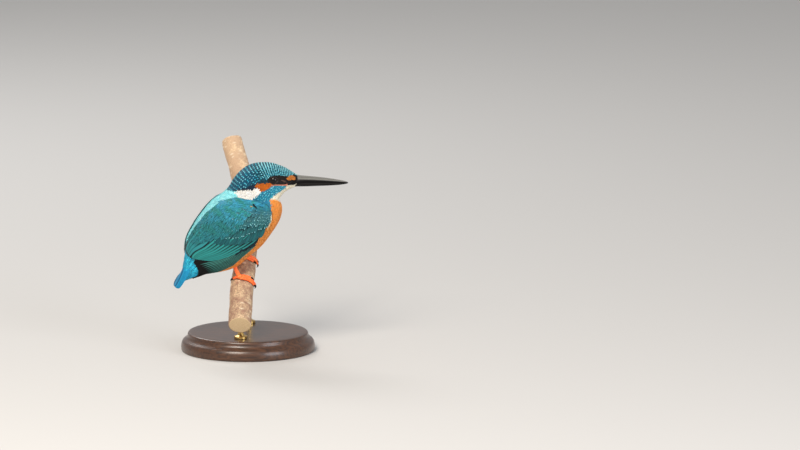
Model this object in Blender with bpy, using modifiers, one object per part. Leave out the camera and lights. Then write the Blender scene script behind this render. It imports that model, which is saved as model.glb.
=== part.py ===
"""A male common kingfisher, life size, gripping a cut length of a leaning branch on a display stand.

+Z is up, the bird's bill points along +X and its right side faces -Y. The origin is the centre of the
underside of the stand's base. Sizes below are in millimetres and angles in degrees, and become metres
where a mesh is made.

The bird is one soft body: sections from the bill to the tail, each an oval that spans from a point on
the back to a point on the throat, breast or belly. A point of it is named by its section number t and
by its angle theta round the section, 0 at the back, 90 on the right side and 180 at the belly. Head,
neck, trunk and rump are lengths of that body with thin cuts between them, and the folded wings are
plates that lie on it, so they are placed by the same two numbers.
"""

import math
from collections import namedtuple

import bmesh
import bpy
import numpy as np
from mathutils import Matrix, Vector

MM = 0.001
GAP = 0.3  # between neighbouring solids

# How the bird is turned: the body faces a little away from -Y and leans to its right, the head less so.
BODY_YAW = 15.0
HEAD_YAW = 4.0
BODY_ROLL = 3.0
ROLL_HEIGHT = 55.0  # height over the feet that the roll leaves in place
FEET = Vector((2.0, -8.0, 62.0))  # where the middle of the grip is, in the part's frame
NECK = (5.0, -3.0)  # the upright axis that head and body turn about, measured from the feet

# One row for each section: the back point and the front point as (forward, up) from the neck's axis and
# the feet, half the width, and how much of the body's turn and lean the section has.
Section = namedtuple("Section", "name back front half_width turn")
BODY = [
    Section("bill base", (29.6, 71.7), (29.6, 63.0), 4.0, 0.0),
    Section("face", (24.6, 75.0), (25.6, 61.8), 6.6, 0.0),
    Section("brow", (18.5, 78.4), (21.6, 60.0), 9.2, 0.0),
    Section("crown", (10.5, 80.6), (18.5, 57.0), 11.2, 0.0),
    Section("hind crown", (0.2, 79.8), (17.0, 53.4), 12.6, 0.0),
    Section("nape", (-10.1, 75.0), (18.0, 49.5), 13.2, 0.15),
    Section("hind neck", (-18.5, 66.0), (19.5, 43.8), 14.5, 0.5),
    Section("shoulder", (-24.8, 59.8), (17.8, 36.7), 16.5, 0.85),
    Section("mantle", (-33.1, 54.0), (14.0, 28.2), 17.8, 1.0),
    Section("back", (-40.9, 45.0), (6.2, 19.0), 17.8, 1.0),
    Section("lower back", (-47.1, 36.0), (-4.1, 11.2), 16.5, 1.0),
    Section("rump", (-52.2, 26.7), (-15.5, 3.8), 13.6, 1.0),
    Section("vent", (-53.8, 17.7), (-28.0, 0.3), 10.0, 1.0),
    Section("tail base", (-54.5, 11.7), (-39.0, -0.4), 7.4, 1.0),
    Section("tail coverts", (-55.4, 6.0), (-45.6, -2.4), 6.3, 1.0),
]
FULLNESS = 0.03  # how much squarer than an oval a section is
SIDES = 26  # of a section
HEAD_END, NECK_END, TRUNK_END, RUMP_END = 5.2, 6.8, 12.2, 14.0
CUT = 0.05  # of a section's spacing, which is GAP where the sections are closest

# A folded wing as ribs from its lower edge to its upper edge, each end a (t, theta), and the plate's
# thickness along the rib.
Rib = namedtuple("Rib", "name low high thickness")
WING = [
    Rib("bend", (5.90, 108), (5.90, 92), 1.0),
    Rib("shoulder", (6.40, 114), (6.30, 75), 1.6),
    Rib("upper arm", (7.10, 116), (7.00, 42), 2.4),
    Rib("arm", (8.00, 118), (8.20, 30), 2.8),
    Rib("coverts", (9.20, 119), (9.50, 27), 2.8),
    Rib("secondaries", (10.40, 123), (10.80, 26), 2.6),
    Rib("tertial tips", (11.40, 132), (11.90, 26), 2.3),
    Rib("secondary tips", (12.40, 146), (12.50, 52), 2.0),
    Rib("primaries", (13.30, 146), (13.10, 92), 1.6),
    Rib("wing tip", (14.10, 132), (14.00, 122), 1.0),
]
WING_EDGE = 0.7  # thickness at the rim
WING_END = 6.9  # the rib number where the wing is parted from its primaries

# The tail's own sections, as in BODY, with the roll of each about the tail's length.
TailSection = namedtuple("TailSection", "name back front half_width roll")
TAIL = [
    TailSection("coverts", (-55.5, 5.6), (-46.0, -2.7), 6.2, 0.0),
    TailSection("covert tips", (-56.9, 1.0), (-52.3, -4.2), 6.7, 7.0),
    TailSection("fan", (-58.9, -3.5), (-56.8, -5.6), 7.3, 11.0),
    TailSection("outer fan", (-61.0, -7.6), (-60.0, -8.7), 7.2, 11.0),
    TailSection("tip", (-62.2, -9.8), (-61.7, -10.4), 4.4, 11.0),
]

# The bill, as (forward, culmen height, mouth line height, gonys height, half width) from its base.
BillSection = namedtuple("BillSection", "forward culmen mouth gonys half_width")
BILL = [
    BillSection(29.9, 71.3, 65.4, 62.6, 3.7),
    BillSection(36.0, 70.5, 65.9, 62.6, 3.0),
    BillSection(44.0, 69.9, 65.9, 63.0, 2.5),
    BillSection(53.0, 69.1, 65.8, 63.3, 1.9),
    BillSection(61.0, 67.9, 65.8, 63.8, 1.25),
    BillSection(66.0, 66.9, 65.75, 64.5, 0.8),
    BillSection(68.2, 66.2, 65.7, 65.2, 0.35),
]

EYE = (12.4, 70.0)  # forward and up
EYE_RADIUS = 3.4
EYE_PROUD = 1.0  # how far the ball stands out of the side of the head

# The branch leans away behind the bird. It bows sideways too, by so much at even steps of its height.
BRANCH_LOW, BRANCH_HIGH = -35.0, 85.0
BRANCH_SIDEWAYS = (-7.0, -6.2, -4.0, -2.2, -3.0, -6.6, -11.8)
BRANCH_RADIUS = (8.9, 7.2)  # at the lower and the upper end
TOE_LIFT = 0.35  # between a toe's underside and the bark

# Each foot grips the branch at a height along it and at an angle round it, 0 on the side that faces up.
Grip = namedtuple("Grip", "side height angle hip")
GRIPS = [
    Grip("right", -11.0, -8.0, (-18.7, 8.0, 4.6)),
    Grip("left", 2.0, -2.0, (-11.0, 18.0, -7.5)),
]
# A toe starts so far to the bird's outer side of the sole, turns so many degrees round the branch and
# spreads so far outwards on the way, with a radius at its root and its tip. Then its claw turns on.
Toe = namedtuple("Toe", "name start turn spread root_radius tip_radius claw_turn")
TOES = [
    Toe("hind", -0.2, -33.0, -0.3, 1.2, 0.85, -22.0),
    Toe("inner", -0.9, 52.0, -1.0, 1.05, 0.8, 22.0),
    Toe("middle", -0.1, 90.0, 0.5, 1.2, 0.85, 25.0),
    Toe("outer", 1.1, 78.0, 1.0, 1.1, 0.8, 22.0),
]
TARSUS_RADIUS = (1.9, 1.5)  # at the feathers and above the toes
PAD_RADIUS = 1.85  # of the sole, where tarsus and toes meet

BASE_RADIUS, BASE_HEIGHT = 50.0, 14.0
ROD_RADIUS, FOOT_RADIUS = 2.0, 5.0
RODS = {"front": -24.0, "rear": 30.0}  # each rod's height up the branch from the feet


def through(rows, at):
    """Points on a smooth curve through the rows, where at counts rows from 0 (a Catmull-Rom spline)."""
    rows = np.asarray(rows, float)
    at = np.clip(np.asarray(at, float), 0, len(rows) - 1)
    i = np.minimum(np.floor(at).astype(int), len(rows) - 2)
    f = (at - i)[..., None]
    a, b = rows[np.maximum(i - 1, 0)], rows[i]
    c, d = rows[i + 1], rows[np.minimum(i + 2, len(rows) - 1)]
    return 0.5 * (2 * b + (c - a) * f + (2 * a - 5 * b + 4 * c - d) * f**2 + (3 * b - a - 3 * c + d) * f**3)


def place(forward, up, side, turn):
    """A point of the bird in the part's frame. Side is towards the bird's right."""
    yaw = np.radians(HEAD_YAW + (BODY_YAW - HEAD_YAW) * turn)
    roll = np.radians(BODY_ROLL * turn)
    over = up - ROLL_HEIGHT
    across = side * np.cos(roll) + over * np.sin(roll)
    height = ROLL_HEIGHT + over * np.cos(roll) - side * np.sin(roll)
    x = FEET.x + NECK[0] + forward * np.cos(yaw) + across * np.sin(yaw)
    y = FEET.y + NECK[1] + forward * np.sin(yaw) - across * np.cos(yaw)
    return np.stack([x, y, FEET.z + height], -1)


BODY_ROWS = [[*s.back, *s.front, s.half_width, s.turn] for s in BODY]


def body_point(t, theta, proud=0.0):
    """The point of the body at section t and angle theta in degrees, or one that stands proud of it."""
    t, theta, proud = np.broadcast_arrays(t, np.radians(theta), proud)
    row = through(BODY_ROWS, t)
    back, front, half_width, turn = row[..., :2], row[..., 2:4], row[..., 4], row[..., 5]
    half = (back - front) / 2
    half_depth = np.linalg.norm(half, axis=-1)
    full = 1 + FULLNESS * (1 - np.cos(4 * theta))
    side = np.sin(theta) * (half_width * full + proud)
    rise = np.cos(theta) * (half_depth * full + proud)
    middle = (back + front) / 2 + half / half_depth[..., None] * rise[..., None]
    return place(middle[..., 0], middle[..., 1], side, turn)


def tail_point(t, theta):
    """The point of the tail at section t and angle theta, the section rolled about the tail's length."""
    t, theta = np.broadcast_arrays(t, np.radians(theta))
    row = through([[*s.back, *s.front, s.half_width, s.roll] for s in TAIL], t)
    half = (row[..., :2] - row[..., 2:4]) / 2
    half_depth = np.linalg.norm(half, axis=-1)
    roll = np.radians(row[..., 5])
    side, rise = np.sin(theta) * row[..., 4], np.cos(theta) * half_depth
    side, rise = side * np.cos(roll) + rise * np.sin(roll), rise * np.cos(roll) - side * np.sin(roll)
    middle = (row[..., :2] + row[..., 2:4]) / 2 + half / half_depth[..., None] * rise[..., None]
    return place(middle[..., 0], middle[..., 1], side, 1.0)


def branch_middle(height):
    """The branch's middle line at a height over the feet, which steepens as it rises."""
    height = np.asarray(height, float)
    away = 8.4 + 1.15 * height - 0.0031 * height**2
    step = (BRANCH_HIGH - BRANCH_LOW) / (len(BRANCH_SIDEWAYS) - 1)
    sideways = through([[x] for x in BRANCH_SIDEWAYS], (height - BRANCH_LOW) / step)[..., 0]
    return np.stack([FEET.x + sideways, FEET.y + away, FEET.z + height], -1)


def branch_radius(height):
    """The branch's radius, which tapers evenly upwards."""
    return np.interp(height, (BRANCH_LOW, BRANCH_HIGH), BRANCH_RADIUS)


def on_branch(height, angle, over):
    """A point that stands over the bark, at an angle round the branch from its upper side."""
    along = branch_middle(height + 0.5) - branch_middle(height - 0.5)
    along /= np.linalg.norm(along)
    across = np.cross((0, 0, 1), along) * -1
    across /= np.linalg.norm(across)
    upper = np.cross(along, across) * -1
    turn = math.radians(angle)
    out = upper * math.cos(turn) + across * math.sin(turn)
    return branch_middle(height) + out * (branch_radius(height) + over)


def clear_scene():
    """Removes the objects of the scene that Blender starts with."""
    for obj in list(bpy.data.objects):
        bpy.data.objects.remove(obj)


def finish(name, colour, roughness, metallic=0.0):
    """A Principled material of one colour."""
    material = bpy.data.materials.new(name)
    material.use_nodes = True
    shader = material.node_tree.nodes["Principled BSDF"]
    shader.inputs["Base Color"].default_value = (*colour, 1.0)
    shader.inputs["Roughness"].default_value = roughness
    shader.inputs["Metallic"].default_value = metallic
    return material


def add(name, mesh, collection, material=None):
    """Puts a mesh in the scene as an object."""
    obj = bpy.data.objects.new(name, mesh)
    collection.objects.link(obj)
    if material:
        mesh.materials.append(material)
        mesh.shade_smooth()
        mesh.set_sharp_from_angle(angle=math.radians(40))
    return obj


def loft(rings):
    """A closed mesh through rings of points of equal number, in millimetres, with flat ends."""
    bm = bmesh.new()
    loops = [[bm.verts.new(Vector(p) * MM) for p in ring] for ring in rings]
    for one, other in zip(loops, loops[1:]):
        for k in range(len(one)):
            m = (k + 1) % len(one)
            bm.faces.new((one[k], one[m], other[m], other[k]))
    bm.faces.new(loops[0][::-1])
    bm.faces.new(loops[-1])
    bmesh.ops.recalc_face_normals(bm, faces=bm.faces)
    mesh = bpy.data.meshes.new("loft")
    bm.to_mesh(mesh)
    bm.free()
    return mesh


def body_length(first, last, rings, proud=0.0):
    """The rings of the body between two sections."""
    theta = np.arange(SIDES) * 360 / SIDES
    return [body_point(t, theta, proud) for t in np.linspace(first, last, rings)]


def wing_plate(side, first, last, rows, columns=8):
    """A closed plate on the body between two ribs: its two faces, and a rim where they come together."""
    rib_rows = [[*r.low, *r.high, r.thickness] for r in WING]
    rings = []
    for at in np.linspace(first, last, rows):
        low_t, low_theta, high_t, high_theta, thickness = through(rib_rows, at)
        across = np.linspace(0, 1, columns)
        t = low_t + (high_t - low_t) * across
        theta = side * (low_theta + (high_theta - low_theta) * across)
        crown = np.sin(np.pi * across) ** 0.5
        outer = body_point(t, theta, GAP + WING_EDGE + (thickness - WING_EDGE) * crown)
        inner = body_point(t, theta, GAP)
        rings.append(np.concatenate([outer, inner[::-1]]))
    return loft(rings)


def half_round(forward, flat, crown, half_width, points=9):
    """A section of one half of the bill: flat at the mouth line and round over the other side."""
    angles = np.linspace(0, np.pi, points)
    side = half_width * np.cos(angles)
    up = flat + (crown - flat) * np.sin(angles) ** 0.8
    return place(forward, up, side, 0.0)


def tube(name, points, radii, collection, resolution=2):
    """A round bar along points, with a radius at each, made a mesh."""
    curve = bpy.data.curves.new(name, "CURVE")
    curve.dimensions = "3D"
    curve.bevel_depth = MM
    curve.bevel_resolution = resolution
    curve.use_fill_caps = True
    spline = curve.splines.new("POLY")
    spline.points.add(len(points) - 1)
    for dot, point, radius in zip(spline.points, points, radii):
        dot.co = (*(Vector(point) * MM), 1.0)
        dot.radius = radius
    guide = bpy.data.objects.new(name + "_line", curve)
    collection.objects.link(guide)
    graph = bpy.context.evaluated_depsgraph_get()
    mesh = bpy.data.meshes.new_from_object(guide.evaluated_get(graph))
    bpy.data.objects.remove(guide)
    bm = bmesh.new()
    bm.from_mesh(mesh)
    bmesh.ops.remove_doubles(bm, verts=bm.verts, dist=MM * 0.001)
    bmesh.ops.recalc_face_normals(bm, faces=bm.faces)
    bm.to_mesh(mesh)
    bm.free()
    mesh.materials.clear()
    return add(name, mesh, collection)


def ball(name, middle, radius, collection, material=None):
    """A sphere whose poles face sideways."""
    bm = bmesh.new()
    turn = Matrix.Translation(Vector(middle) * MM) @ Matrix.Rotation(math.radians(90), 4, "X")
    bmesh.ops.create_uvsphere(bm, u_segments=14, v_segments=9, radius=radius * MM, matrix=turn)
    mesh = bpy.data.meshes.new(name)
    bm.to_mesh(mesh)
    bm.free()
    return add(name, mesh, collection, material)


def helper(obj):
    """Marks an object as a cutter or a guide, which isn't part of the model."""
    obj.hide_render = True
    obj.display_type = "WIRE"
    return obj


def combine(obj, other, operation):
    """Joins another object to this one, or cuts it away."""
    modifier = obj.modifiers.new(operation.lower(), "BOOLEAN")
    modifier.operation = operation
    modifier.object = other


def make_body(parts, cutters, materials):
    """Head, neck, trunk and rump, with sockets for the eyes, and the eyes."""
    lengths = {
        "head": (0.0, HEAD_END, 15, "blue_plumage"),
        "neck": (HEAD_END + CUT, NECK_END, 5, "orange_plumage"),
        "trunk": (NECK_END + CUT, TRUNK_END, 14, "orange_plumage"),
        "rump": (TRUNK_END + CUT, RUMP_END, 6, "blue_plumage"),
    }
    made = {}
    for name, (first, last, rings, finish_name) in lengths.items():
        made[name] = add(name, loft(body_length(first, last, rings)), parts, materials[finish_name])
    for side, hand in ((1, "right"), (-1, "left")):
        middle = eye_middle(side)
        ball("eye_" + hand, middle, EYE_RADIUS, parts, materials["eye"])
        socket = ball("eye_socket_" + hand, middle, EYE_RADIUS + GAP, cutters)
        combine(made["head"], helper(socket), "DIFFERENCE")


def eye_middle(side):
    """The middle of an eyeball, set so deep that the ball stands EYE_PROUD out of the head's side."""
    t, theta = np.meshgrid(np.linspace(2, 4.5, 51), np.linspace(60, 110, 51), indexing="ij")
    target = place(EYE[0], EYE[1], 0.0, 0.0)
    skin = body_point(t, theta) - target
    yaw = math.radians(HEAD_YAW)
    outwards = np.array((math.sin(yaw), -math.cos(yaw), 0.0))
    depth = skin @ outwards
    off = np.linalg.norm(skin - depth[..., None] * outwards, axis=-1)
    sideways = depth.flat[off.argmin()] + EYE_PROUD - EYE_RADIUS
    return Vector(place(EYE[0], EYE[1], side * sideways, 0.0))


def make_bill(parts, materials):
    """Upper and lower mandible, flat where they meet."""
    stations = np.linspace(0, len(BILL) - 1, 13)
    rows = through(BILL, stations)
    upper = [half_round(f, mouth + GAP / 2, culmen, w) for f, culmen, mouth, _, w in rows]
    lower = [half_round(f, mouth - GAP / 2, gonys, w * 0.94) for f, _, mouth, gonys, w in rows]
    add("bill_upper", loft(upper), parts, materials["bill"])
    add("bill_lower", loft(lower), parts, materials["bill"])


def make_wings(parts, materials):
    """Each folded wing, and its primaries as a second plate behind a thin cut."""
    for side, hand in ((1, "right"), (-1, "left")):
        wing = wing_plate(side, 0, WING_END, 17)
        primaries = wing_plate(side, WING_END + CUT * 1.4, len(WING) - 1, 7)
        add("wing_" + hand, wing, parts, materials["green_plumage"])
        add("primaries_" + hand, primaries, parts, materials["green_plumage"])


def make_tail(parts, materials):
    """The closed tail, from a thick root under its coverts to a thin round tip."""
    theta = np.arange(16) * 360 / 16
    rings = [tail_point(t, theta) for t in np.linspace(0, len(TAIL) - 1, 13)]
    add("tail", loft(rings), parts, materials["blue_plumage"])


def make_legs(parts, cutters, materials):
    """Each leg as tarsus and toes joined, cut clear of the belly, and the claws."""
    clearance = helper(add("belly_clearance", loft(body_length(5.0, 14.0, 24, GAP)), cutters))
    for grip in GRIPS:
        hip = Vector(place(*grip.hip, 1.0))
        sole = Vector(on_branch(grip.height, grip.angle, TOE_LIFT + PAD_RADIUS))
        bend = hip.lerp(sole, 0.5) + Vector((-0.6, 0, 0))
        leg = tube("leg_" + grip.side, [hip, bend, sole], [*TARSUS_RADIUS, 1.55], parts)
        leg.data.materials.append(materials["foot"])
        pad = ball("pad_" + grip.side, sole, PAD_RADIUS, cutters)
        combine(leg, helper(pad), "UNION")
        for toe in TOES:
            points, radii = toe_line(grip, toe)
            member = tube(f"toe_{grip.side}_{toe.name}", points, radii, cutters)
            combine(leg, helper(member), "UNION")
            points, radii = claw_line(grip, toe)
            claw = tube(f"claw_{grip.side}_{toe.name}", points, radii, parts)
            claw.data.materials.append(materials["claw"])
        combine(leg, clearance, "DIFFERENCE")


def outwards(grip):
    """The way down the branch that is the foot's outer side, as the step of height for one along it."""
    return 0.65 if grip.side == "right" else -0.65


def toe_line(grip, toe, steps=7):
    """A toe's middle line round the branch, from the foot's pad to the claw."""
    points, radii = [], []
    for f in np.linspace(0, 1, steps):
        radius = toe.root_radius + (toe.tip_radius - toe.root_radius) * f
        height = grip.height - outwards(grip) * (toe.start + toe.spread * f)
        points.append(on_branch(height, grip.angle + toe.turn * f, TOE_LIFT + radius))
        radii.append(radius)
    return points, radii


def claw_line(grip, toe, steps=5):
    """A claw's middle line: it leaves the toe's end, arches and comes down to a point on the bark."""
    points, radii = [], []
    height = grip.height - outwards(grip) * (toe.start + toe.spread)
    reach = math.degrees((toe.tip_radius + GAP) / branch_radius(grip.height)) * math.copysign(1, toe.turn)
    for f in np.linspace(0, 1, steps):
        radius = 0.75 * (1 - f) + 0.2 * f
        angle = grip.angle + toe.turn + reach * 0.5 + toe.claw_turn * f
        over = TOE_LIFT + 0.75 + 0.5 * math.sin(math.pi * f) - 0.5 * f
        points.append(on_branch(height, angle, over))
        radii.append(radius)
    return points, radii


def make_perch(parts, cutters, materials):
    """The cut length of branch, and the wider shape that the stand's rods are cut to."""
    heights = np.linspace(BRANCH_LOW, BRANCH_HIGH, 21)
    points, radii = branch_middle(heights), branch_radius(heights)
    perch = tube("perch", points, radii, parts, resolution=5)
    perch.data.materials.append(materials["bark"])
    return helper(tube("perch_clearance", points, radii + GAP, cutters, resolution=4))


def turned(name, profile, at, collection, material, steps=32):
    """A solid turned about an upright axis. The profile's (radius, height) points run from top to bottom."""
    bm = bmesh.new()
    dots = [bm.verts.new((radius * MM, 0, height * MM)) for radius, height in profile]
    for one, other in zip(dots, dots[1:]):
        bm.edges.new((one, other))
    mesh = bpy.data.meshes.new(name)
    bm.to_mesh(mesh)
    bm.free()
    obj = add(name, mesh, collection, material)
    obj.location = Vector(at) * MM
    screw = obj.modifiers.new("turn", "SCREW")
    screw.steps = screw.render_steps = steps
    screw.use_merge_vertices = True
    screw.merge_threshold = 0.00001
    return obj


def make_stand(parts, perch_clearance, materials):
    """The round base and the two rods, each with a turned foot and a top cut to the branch."""
    r, h = BASE_RADIUS, BASE_HEIGHT
    base = [(0, h), (r - 7, h), (r - 5, h - 1), (r - 4.4, h - 3), (r - 3, h - 5), (r - 0.8, h - 7)]
    base += [(r, h - 9.5), (r, 1), (r - 1, 0), (0, 0)]
    turned("stand_base", base, (0, 0, 0), parts, materials["stand_wood"], steps=40)
    for name, height in RODS.items():
        x, y, top = branch_middle(height)
        length = top - h - GAP
        rod = [(0, length), (ROD_RADIUS, length), (ROD_RADIUS, 4), (ROD_RADIUS + 0.8, 2.4)]
        rod += [(FOOT_RADIUS, 1.6), (FOOT_RADIUS, 0), (0, 0)]
        made = turned("stand_rod_" + name, rod, (x, y, h + GAP), parts, materials["stand_brass"], steps=20)
        combine(made, perch_clearance, "DIFFERENCE")


def main():
    """Builds the model in one collection and its cutters in another."""
    clear_scene()
    parts, cutters = (bpy.data.collections.new(n) for n in ("kingfisher", "cutters"))
    for collection in (parts, cutters):
        bpy.context.scene.collection.children.link(collection)
    materials = {
        "blue_plumage": finish("blue_plumage", (0.02, 0.25, 0.42), 0.45),
        "green_plumage": finish("green_plumage", (0.02, 0.20, 0.22), 0.5),
        "orange_plumage": finish("orange_plumage", (0.76, 0.22, 0.03), 0.8),
        "bill": finish("bill", (0.02, 0.02, 0.022), 0.35),
        "eye": finish("eye", (0.01, 0.006, 0.004), 0.05),
        "foot": finish("foot", (0.85, 0.12, 0.03), 0.5),
        "claw": finish("claw", (0.03, 0.02, 0.02), 0.35),
        "bark": finish("bark", (0.35, 0.25, 0.19), 0.9),
        "stand_wood": finish("stand_wood", (0.06, 0.03, 0.018), 0.4),
        "stand_brass": finish("stand_brass", (0.8, 0.58, 0.27), 0.3, 1.0),
    }
    make_body(parts, cutters, materials)
    make_bill(parts, materials)
    make_wings(parts, materials)
    make_tail(parts, materials)
    make_legs(parts, cutters, materials)
    perch_clearance = make_perch(parts, cutters, materials)
    make_stand(parts, perch_clearance, materials)


main()
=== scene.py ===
"""The looks of a life-size male common kingfisher on its perch and display stand.

Sizes are in millimetres and angles in degrees, and become metres where a mesh is made. +Z is up, the bill
points along +X and the bird's right side faces -Y.

The bird's soft body is one surface of two parameters: t counts the sections from the bill (0) to the tail
(14), and theta turns round a section from the back (0) over the right side (90) to the belly (180). The
folded wings and the tail have surfaces of their own that lie on it. Every feather is a thin closed vane
laid on one of these surfaces, and its colour is worked out from its place on the body.
"""

import logging
import math
from abc import ABC, abstractmethod
from collections.abc import Sequence
from dataclasses import astuple, dataclass
from enum import Enum

import bpy
import numpy as np
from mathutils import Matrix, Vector


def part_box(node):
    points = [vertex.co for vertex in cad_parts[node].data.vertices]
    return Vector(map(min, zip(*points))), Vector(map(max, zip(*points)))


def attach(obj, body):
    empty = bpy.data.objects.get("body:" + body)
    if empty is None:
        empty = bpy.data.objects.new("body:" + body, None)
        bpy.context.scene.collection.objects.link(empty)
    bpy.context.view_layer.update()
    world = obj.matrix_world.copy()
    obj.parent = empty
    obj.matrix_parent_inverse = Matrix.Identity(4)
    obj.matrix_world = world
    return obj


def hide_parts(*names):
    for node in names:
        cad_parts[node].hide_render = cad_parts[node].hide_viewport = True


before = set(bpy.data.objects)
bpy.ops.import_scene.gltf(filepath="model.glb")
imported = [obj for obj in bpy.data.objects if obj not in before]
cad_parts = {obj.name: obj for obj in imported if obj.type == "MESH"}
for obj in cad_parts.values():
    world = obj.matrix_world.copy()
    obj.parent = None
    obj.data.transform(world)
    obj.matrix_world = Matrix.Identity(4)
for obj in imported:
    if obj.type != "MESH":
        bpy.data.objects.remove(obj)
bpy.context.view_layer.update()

MM = 0.001
SEED = 20
UP = np.array((0.0, 0.0, 1.0))
BODY = "root"  # the one rigid body that every piece rides on

Array = np.ndarray
Pair = tuple[float, float]
Place = tuple[float, float, float]
Piece = bpy.types.Object
Material = bpy.types.Material
log = logging.getLogger("kingfisher")


# ---- curves, colours and meshes


def through(rows: Array | Sequence, at: Array | float) -> Array:
    """Reads a smooth curve through rows: a Catmull-Rom spline, straight beyond its ends.

    Args:
        rows: The values that the curve passes through, one row for each whole number.
        at: Where to read it, counted in rows from 0.

    Returns:
        One row of values for each place read.
    """
    rows = np.asarray(rows, float)
    at = np.asarray(at, float)
    inside = np.clip(at, 0, len(rows) - 1)
    i = np.minimum(np.floor(inside).astype(int), len(rows) - 2)
    f = (inside - i)[..., None]
    a, b = rows[np.maximum(i - 1, 0)], rows[i]
    c, d = rows[i + 1], rows[np.minimum(i + 2, len(rows) - 1)]
    square, cube = 2 * a - 5 * b + 4 * c - d, 3 * b - a - 3 * c + d
    curve = 0.5 * (2 * b + (c - a) * f + square * f**2 + cube * f**3)
    before, beyond = np.minimum(at, 0)[..., None], np.maximum(at - (len(rows) - 1), 0)[..., None]
    return curve + before * (rows[1] - rows[0]) + beyond * (rows[-1] - rows[-2])


def table(rows: Sequence) -> Array:
    """The fields of each row as plain numbers, one after another."""
    return np.array([np.hstack(astuple(row)) for row in rows])


def graph(points: Sequence[Pair], at: Array | float) -> Array:
    """Reads a line drawn straight from each (place, value) point to the next, and level beyond its ends."""
    return np.interp(at, *zip(*points))


def circle(count: int) -> Array:
    """Evenly spaced angles round a circle, in degrees from 0."""
    return np.linspace(0, 360, count, endpoint=False)


def linear(colour: str) -> Array:
    """Turns an sRGB hex colour such as "#1f7f85" into linear red, green and blue."""
    srgb = np.array([int(colour[k : k + 2], 16) for k in (1, 3, 5)]) / 255
    return np.where(srgb <= 0.04045, srgb / 12.92, ((srgb + 0.055) / 1.055) ** 2.4)


def rgba(colour: str) -> tuple[float, float, float, float]:
    """An sRGB hex colour as a linear colour for a socket."""
    return (*linear(colour), 1.0)


def blend(first: str, second: str, share: Array) -> Array:
    """The linear colours that have the given shares of the second hex colour in the first."""
    return linear(first) * (1 - share) + linear(second) * share


def ease(low: float, high: float, value: Array) -> Array:
    """Rises smoothly from 0 at low to 1 at high (the cubic 3x^2 - 2x^3)."""
    x = np.clip((value - low) / (high - low), 0, 1)
    return x * x * (3 - 2 * x)


def unit(vectors: Array) -> Array:
    """Scales vectors to length one."""
    return vectors / np.maximum(np.linalg.norm(vectors, axis=-1, keepdims=True), 1e-12)


def ring_faces(rings: int, sides: int, count: int = 1, flip: bool = False) -> list[Array]:
    """Faces of closed tubes, each of several rings of points, with a flat face on either end.

    Args:
        rings: Rings in a tube.
        sides: Points in a ring.
        count: Tubes, whose points follow one another.
        flip: Turns the faces the other way.

    Returns:
        The four-sided faces between the rings, and the end faces, as rows of point numbers.
    """
    k = np.arange(sides)
    j = np.arange(rings - 1)[:, None]
    here, there = j * sides + k, j * sides + (k + 1) % sides
    quads = np.stack([here, there, there + sides, here + sides], -1).reshape(-1, 4)
    ends = np.stack([k[::-1], (rings - 1) * sides + k])
    start = (np.arange(count) * rings * sides)[:, None, None]
    faces = [(start + quads).reshape(-1, 4), (start + ends).reshape(-1, sides)]
    return [f[:, ::-1] for f in faces] if flip else faces


def make_piece(name: str, points: Array, faces: Sequence[Array], material: Material) -> Piece:
    """Makes a smooth-shaded object from whole arrays and lets it ride on the model's body.

    Args:
        name: The piece's name.
        points: Places in millimetres, one row each.
        faces: Arrays of point numbers, one face to a row, anticlockwise as seen from outside.
        material: Its first material.

    Returns:
        The new object.
    """
    mesh = bpy.data.meshes.new(name)
    loops = np.concatenate([f.ravel() for f in faces])
    sizes = np.concatenate([np.full(len(f), f.shape[1]) for f in faces])
    mesh.vertices.add(len(points))
    mesh.vertices.foreach_set("co", (np.asarray(points, float) * MM).ravel())
    mesh.loops.add(len(loops))
    mesh.loops.foreach_set("vertex_index", loops.astype(np.int32))
    mesh.polygons.add(len(sizes))
    mesh.polygons.foreach_set("loop_start", (np.cumsum(sizes) - sizes).astype(np.int32))
    mesh.polygons.foreach_set("use_smooth", np.ones(len(sizes), bool))
    mesh.update(calc_edges=True)
    mesh.validate()
    mesh.materials.append(material)
    piece = bpy.data.objects.new(name, mesh)
    bpy.context.scene.collection.objects.link(piece)
    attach(piece, BODY)
    return piece


def make_tube(name: str, rings: Array, material: Material, flip: bool = False) -> Piece:
    """Makes a piece of one closed tube, from its rings of points.

    Args:
        name: The piece's name.
        rings: Places in millimetres, by ring and by place in the ring.
        material: Its first material.
        flip: Turns its faces the other way.

    Returns:
        The new object.
    """
    return make_piece(name, rings.reshape(-1, 3), ring_faces(*rings.shape[:2], flip=flip), material)


def store(piece: Piece, name: str, values: Array) -> None:
    """Keeps a colour (four numbers) or a vector (three) for each point of a piece, for its material."""
    kind, key = ("FLOAT_COLOR", "color") if values.shape[-1] == 4 else ("FLOAT_VECTOR", "vector")
    attribute = piece.data.attributes.new(name, kind, "POINT")
    attribute.data.foreach_set(key, np.ascontiguousarray(values, np.float32).ravel())


def store_tint(piece: Piece, colour: Array, name: str = "Tint") -> None:
    """Keeps an opaque colour for each point of a piece, or one for all of them."""
    count = len(piece.data.vertices)
    colour = np.broadcast_to(colour.reshape(-1, 3), (count, 3))
    store(piece, name, np.concatenate([colour, np.ones((count, 1))], -1))


def store_map(piece: Piece, name: str, places: Array) -> None:
    """Gives a piece a UV map from one place for each point."""
    corners = np.empty(len(piece.data.loops), np.int32)
    piece.data.loops.foreach_get("vertex_index", corners)
    layer = piece.data.uv_layers.new(name=name)
    layer.uv.foreach_set("vector", np.ascontiguousarray(places[corners], np.float32).ravel())


# ---- finishes

COLOURS = {"data_type": "RGBA"}  # what makes a Mix node mix colours


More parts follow.
